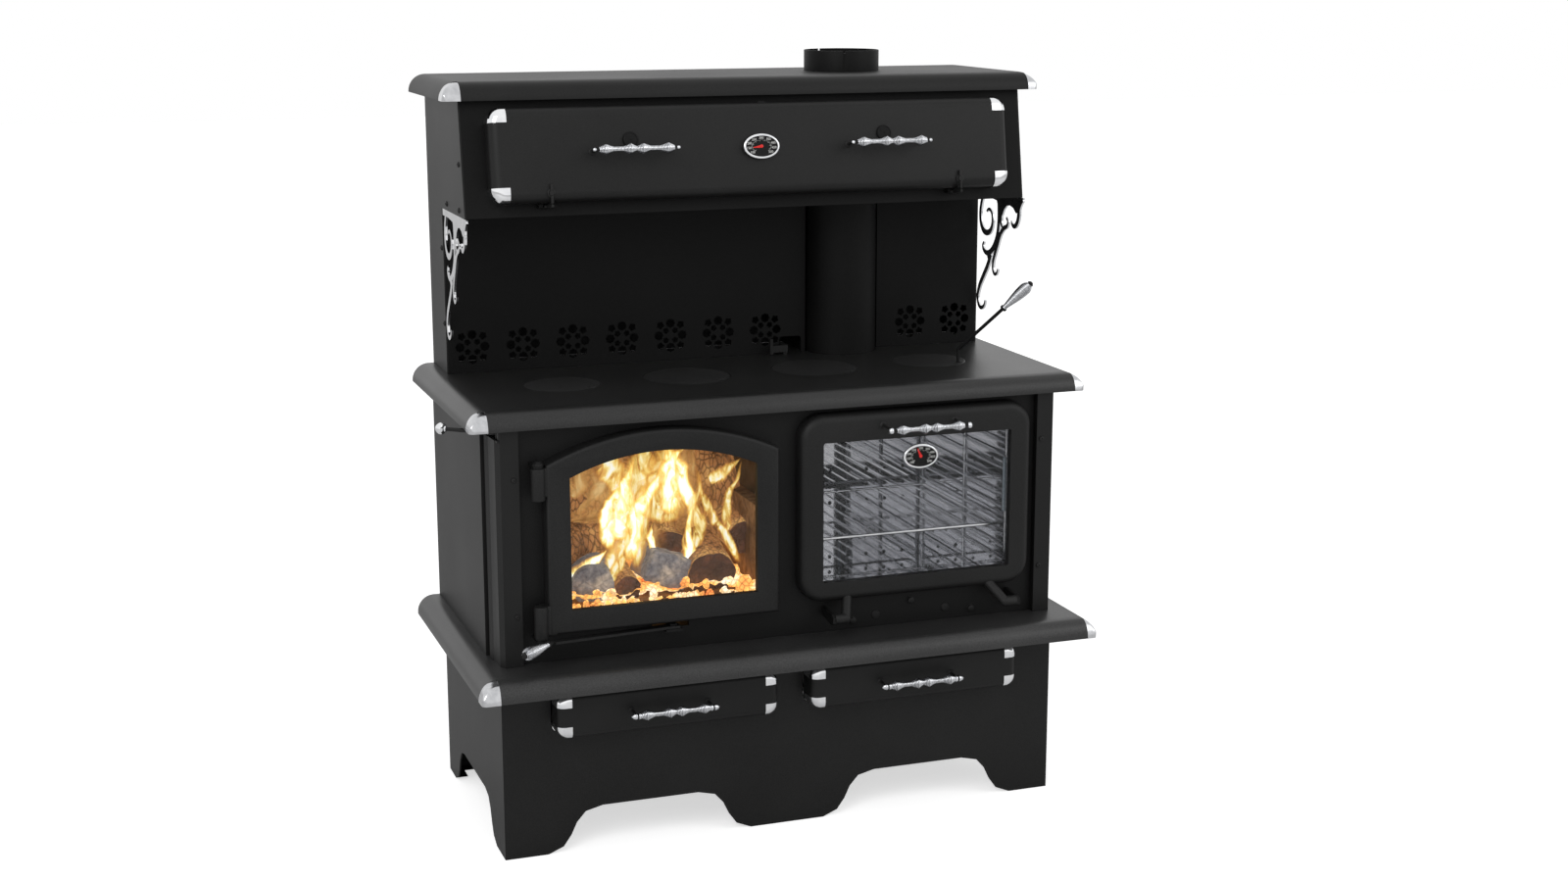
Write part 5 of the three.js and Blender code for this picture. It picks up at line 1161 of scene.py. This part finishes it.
flameColours = [(0.08, (0.5, 0.17, 0.02)), (0.28, (0.9, 0.42, 0.07)), (0.46, (1.0, 0.7, 0.17)),
                (0.66, (1.0, 0.9, 0.48)), (0.84, (1.0, 1.0, 0.9))]
hazeColours = [(0.1, (0.16, 0.06, 0.015)), (0.4, (0.42, 0.18, 0.05)), (0.65, (0.75, 0.42, 0.13)),
               (0.85, (0.95, 0.68, 0.3))]
flameLooks = {
    "flameTongue": {"stretch": (1, 1, 0.38), "scale": 62, "curl": 1.5, "fade": 5.0, "tongue": 1.9, "base": -0.12,
                    "colours": flameColours, "glow": 1.35, "veil": (0.1, 0.6), "solid": 0.97},
    "flameWisp": {"stretch": (1, 1, 0.38), "scale": 48, "curl": 2.0, "fade": 4.0, "tongue": 1.7, "base": -0.22,
                  "colours": flameColours, "glow": 1.1, "veil": (0.08, 0.6), "solid": 0.88},
    "flameHaze": {"stretch": (1, 1, 0.4), "scale": 15, "curl": 2.2, "fade": 6.0, "tongue": 1.5, "base": -0.15,
                  "colours": hazeColours, "glow": 0.9, "veil": (0.1, 0.8), "solid": 0.7},
}
for name, look in flameLooks.items():
    flameMaterial(name, look)


bark = {"sides": 40, "cuts": 14, "rim": 0.004, "end": 0.00045, "waves": ((22, 0, 0.10), (70, 5, 0.05))}


def makeLog(name, start, end, radius, seed, material, squashed=1.0):
    a, b = at(*start), at(*end)
    choose()
    bpy.ops.mesh.primitive_cylinder_add(vertices=bark["sides"], radius=radius / 1000, depth=(b - a).length)
    log = settle(name)
    pick(log, "EDGE", alongZ)
    bpy.ops.mesh.subdivide(number_cuts=bark["cuts"])
    leave()
    pick(log, "FACE", lambda f: len(f.verts) > 8)
    bpy.ops.mesh.inset(thickness=bark["rim"])
    bpy.ops.mesh.extrude_region_move(TRANSFORM_OT_translate={"value": (0, 0, 0)})
    bpy.ops.mesh.inset(thickness=radius * bark["end"])
    leave()
    for vertex in log.data.vertices:
        place = Vector(vertex.co)
        swell = sum(noise.noise(place * scale + Vector((seed, off, 0))) * deep for scale, off, deep in bark["waves"])
        vertex.co.x *= (1 + swell) * squashed
        vertex.co.y *= 1 + swell
        vertex.co.z += noise.noise(place * 40) * 0.004
    standOn(log, (a + b) / 2, b - a)
    finish(log, material, "root", angle=60)
    log.data.materials.append(finishes["ashGrey" if material == "ashGrey" else "logEnd"])
    axis = (b - a).normalized()
    for face in log.data.polygons:
        if abs(face.normal.dot(axis)) > 0.8:
            face.material_index = 1


fireLogs = [
    ("logFrontLeft", (-373, -486, 504), (-345, -330, 520), 40, 1, "ashGrey"),
    ("logFrontMiddle", (-304, -490, 492), (-300, -360, 505), 26, 2, "barkHotFirelit"),
    ("logFrontRight", (-140, -484, 503), (-128, -250, 560), 47, 3, "barkHotFirelit"),
    ("logEndDark", (-206, -420, 552), (-200, -300, 560), 27, 5, "barkHotFirelit", 1.35),
    ("logRightDark", (-60, -440, 559), (-75, -300, 585), 34, 6, "barkHotFirelit"),
    ("logLeftStriped", (-440, -400, 565), (-320, -370, 560), 42, 7, "barkHotFirelit"),
    ("logLeftBark", (-445, -350, 640), (-300, -330, 655), 50, 8, "barkHotFirelit"),
    ("logBackTall", (-222, -350, 520), (-238, -310, 745), 56, 9, "barkHotFirelit"),
    ("logRightBark", (-70, -320, 570), (-110, -280, 740), 62, 10, "barkHotFirelit"),
    ("logTopLeft", (-440, -300, 715), (-300, -280, 770), 48, 11, "barkHotFirelit"),
    ("logTopRight", (-190, -280, 770), (-60, -260, 730), 46, 12, "barkHotFirelit"),
]
flames = [  # points of its path (x, z), depth, width
    ([(-322, 556), (-328, 587), (-318, 612), (-306, 640), (-300, 679), (-291, 708), (-281, 752)], -452, 62,
     "flameTongue"),
    ([(-310, 575), (-308, 615), (-312, 640), (-308, 690)], -456, 54, "flameTongue"),
    ([(-342, 600), (-337, 633), (-328, 656), (-314, 680)], -455, 32, "flameTongue"),
    ([(-346, 520), (-324, 556), (-305, 576), (-293, 610), (-284, 650)], -458, 36, "flameWisp"),
    ([(-290, 530), (-281, 590), (-275, 624), (-254, 654), (-228, 692), (-214, 752)], -450, 50, "flameTongue"),
    ([(-278, 515), (-266, 596), (-246, 660), (-226, 700), (-236, 760)], -447, 44, "flameWisp"),
    ([(-237, 536), (-245, 564), (-254, 590), (-249, 615)], -462, 20, "flameTongue"),
    ([(-179, 476), (-173, 530), (-180, 577), (-171, 655)], -458, 42, "flameTongue"),
    ([(-176, 520), (-154, 586), (-165, 634), (-153, 671), (-156, 716)], -452, 34, "flameWisp"),
    ([(-208, 618), (-212, 687), (-203, 721), (-170, 752)], -448, 50, "flameTongue"),
    ([(-166, 625), (-187, 693), (-203, 728), (-222, 760)], -449, 50, "flameTongue"),
    ([(-72, 512), (-102, 574), (-126, 611), (-146, 659), (-150, 712)], -454, 24, "flameWisp"),
    ([(-72, 510), (-94, 593), (-90, 643), (-76, 680), (-70, 720)], -450, 24, "flameWisp"),
    ([(-425, 512), (-390, 530), (-359, 553), (-340, 572)], -470, 34, "flameTongue"),
    ([(-309, 665), (-325, 712), (-342, 737), (-378, 722)], -448, 52, "flameWisp"),
    ([(-338, 498), (-328, 526), (-305, 546), (-284, 566)], -466, 30, "flameWisp"),
    ([(-136, 680), (-98, 693), (-60, 716)], -446, 34, "flameWisp"),
    ([(-228, 600), (-216, 690), (-204, 775)], -440, 130, "flameWisp"),
    ([(-300, 620), (-266, 690), (-250, 775)], -438, 110, "flameWisp"),
    ([(-170, 600), (-176, 690), (-160, 775)], -436, 100, "flameHaze"),
    ([(-400, 660), (-380, 715), (-350, 770)], -438, 80, "flameHaze"),
    ([(-332, 690), (-340, 730), (-330, 775)], -440, 80, "flameHaze"),
    ([(-262, 500), (-250, 560), (-230, 660)], -430, 110, "flameHaze"),
    ([(-330, 500), (-310, 560), (-300, 640)], -432, 80, "flameHaze"),
]
hazes = [[(-330, 480), (-320, 640), (-310, 830)], [(-170, 480), (-180, 640), (-190, 830)]]
embers = [  # the small ones lie against the glass
    {"count": 60, "x": (-430, -66), "y": (-498, -440), "z": (482, 494), "size": (0.005, 0.011), "grow": 0.009,
     "lift": 0, "lumps": (90, 0.005)},
    {"count": 110, "x": (-444, -58), "y": (-512, -504), "z": (463, 478), "size": (0.004, 0.008), "grow": 0,
     "lift": 8, "lumps": (120, 0.004)},
]
rightHeap = -95
bed = {"steps": 90, "middle": (-249, -300), "wide": (372, 400), "up": 483}
flameRows = 48


def makeFlame(name, path, y, width, seed, material):
    choose()
    bpy.ops.mesh.primitive_grid_add(x_subdivisions=8, y_subdivisions=flameRows, size=1, calc_uvs=True)
    flame = settle(name)
    points = [Vector(p) for p in path]
    stretches = len(points) - 1

    def place(t):  # along the smooth path through the points
        part = min(int(t * stretches), stretches - 1)
        return curvePoint(points, part, t * stretches - part)

    for vertex in flame.data.vertices:
        u, t = vertex.co.x, vertex.co.y + 0.5
        middle = place(t)
        run = (place(min(1, t + 0.02)) - place(max(0, t - 0.02))).normalized()
        ripple = 1 + 0.45 * noise.noise(Vector((seed * 7.7, t * 5, 2.0)))
        reach = u * width * ripple * (0.25 + 0.75 * math.sin(math.pi * min(1, t * 1.15) ** 0.8)) * (1 - t ** 6 * 0.8)
        curl = 5 * noise.noise(Vector((seed * 3.1, t * 6, u)))
        sway = 10 * math.sin(4 * t + seed) + abs(u) * 8
        vertex.co = at(middle.x - run.y * reach + curl, y + sway, middle.y + run.x * reach)
    finish(flame, material, "root", angle=180)


def roughen(piece, scale, depth):
    for vertex in piece.data.vertices:
        vertex.co += Vector((1, 1, 1)) * noise.noise(vertex.co * scale) * depth
    return piece


def makeSplitLog():  # a split billet with flat grey faces, lying across the fire
    billet = addBlock("logSplit", (-264, -480, 486), (-180, -380, 548))
    pick(billet, "EDGE")
    bpy.ops.mesh.bevel(offset=0.006, segments=2, affect="EDGES", clamp_overlap=True)
    bpy.ops.mesh.select_all(action="SELECT")
    bpy.ops.mesh.subdivide(number_cuts=5)
    leave()
    roughen(billet, 35, 0.006)
    pick(billet, "FACE")
    bpy.ops.transform.rotate(value=math.radians(-20), orient_axis="Y", center_override=at(-222, -430, 517))
    leave()
    finish(billet, "ashGrey", "root", angle=50)


def makeCoal(kind):
    x, size, y, z = (random.uniform(*kind[key]) for key in ("x", "size", "y", "z"))
    if x > rightHeap:
        size += kind["grow"]
        z += kind["lift"]
    choose()
    bpy.ops.mesh.primitive_ico_sphere_add(subdivisions=2, radius=size, location=at(x, y, z))
    return roughen(settle("coal"), *kind["lumps"])


def makeFire():
    choose()
    bpy.ops.mesh.primitive_grid_add(x_subdivisions=bed["steps"], y_subdivisions=bed["steps"], size=1)
    heap = settle("emberBed")
    for vertex in heap.data.vertices:
        x, y = (mid + place * wide for mid, place, wide in zip(bed["middle"], vertex.co, bed["wide"]))
        lump = noise.noise(Vector((x, y, 0)) * 0.03) * 12 + noise.noise(Vector((x, y, 0)) * 0.09) * 7
        vertex.co = at(x, y, bed["up"] + max(0, lump + 6))
    finish(heap, "emberBed", "root", angle=60)
    for spec in fireLogs:
        makeLog(*spec)
    makeSplitLog()
    random.seed(4)
    coals = [makeCoal(kind) for kind in embers for i in range(kind["count"])]
    finish(joinAll("coals", coals), "emberBed", "root", angle=40)
    for i, (path, y, width, material) in enumerate(flames):
        makeFlame("flame%02d" % i, path, y, width, i + 1, material)
    for i, path in enumerate(hazes):
        makeFlame("haze%d" % i, path, -400 + 5 * i, 230, 31 + i, "flameHaze")
    print("fire laid")


makeFire()


# floor and light
def makeStage():
    choose()
    bpy.ops.mesh.primitive_plane_add(size=40, location=grey(0))
    floor = bpy.context.active_object
    floor.name = "floor"
    tree, shader = newMaterial("paleFloor")
    seen = tree.nodes.new("ShaderNodeLightPath").outputs
    straight = maths(tree, "MAXIMUM", seen["Is Camera Ray"], seen["Is Transmission Ray"])
    feed(tree, shader, {
        "Base Color": ramp(tree, objectNoise(tree, 3, 2), [(0.3, grey(0.86)), (0.7, grey(0.9))]),
        "Roughness": 0.9, "Specular IOR Level": 0.1, "Emission Color": (1, 1, 1, 1),
        "Emission Strength": maths(tree, "MULTIPLY", straight, 0.62),
    })
    floor.data.materials.append(finishes["paleFloor"])

    world = bpy.data.worlds.new("paleRoom")
    bpy.context.scene.world = world
    world.use_nodes = True
    tree = world.node_tree
    seen = tree.nodes.new("ShaderNodeLightPath").outputs
    first = maths(tree, "MAXIMUM", seen["Is Camera Ray"], seen["Is Glossy Ray"])
    both = maths(tree, "MAXIMUM", first, seen["Is Transmission Ray"])
    feed(tree, tree.nodes["Background"], {"Color": (1, 1, 1, 1), "Strength": span(tree, both, 0.6, 1.0)})

    lamps = {
        "keyLamp": {"place": (-2.6, -3.2, 3.4), "size": 2.4, "watts": 60},
        "fillLamp": {"place": (3.0, -2.6, 2.6), "size": 2.4, "watts": 25},
    }
    for name, lamp in lamps.items():
        bpy.ops.object.light_add(type="AREA", location=lamp["place"])
        light = bpy.context.active_object
        light.name = name
        light.data.size = lamp["size"]
        light.data.energy = lamp["watts"]
        aim = Vector((0, 0, 0.8)) - Vector(lamp["place"])
        light.rotation_euler = aim.to_track_quat("-Z", "Y").to_euler()
    print("stage set")


makeStage()
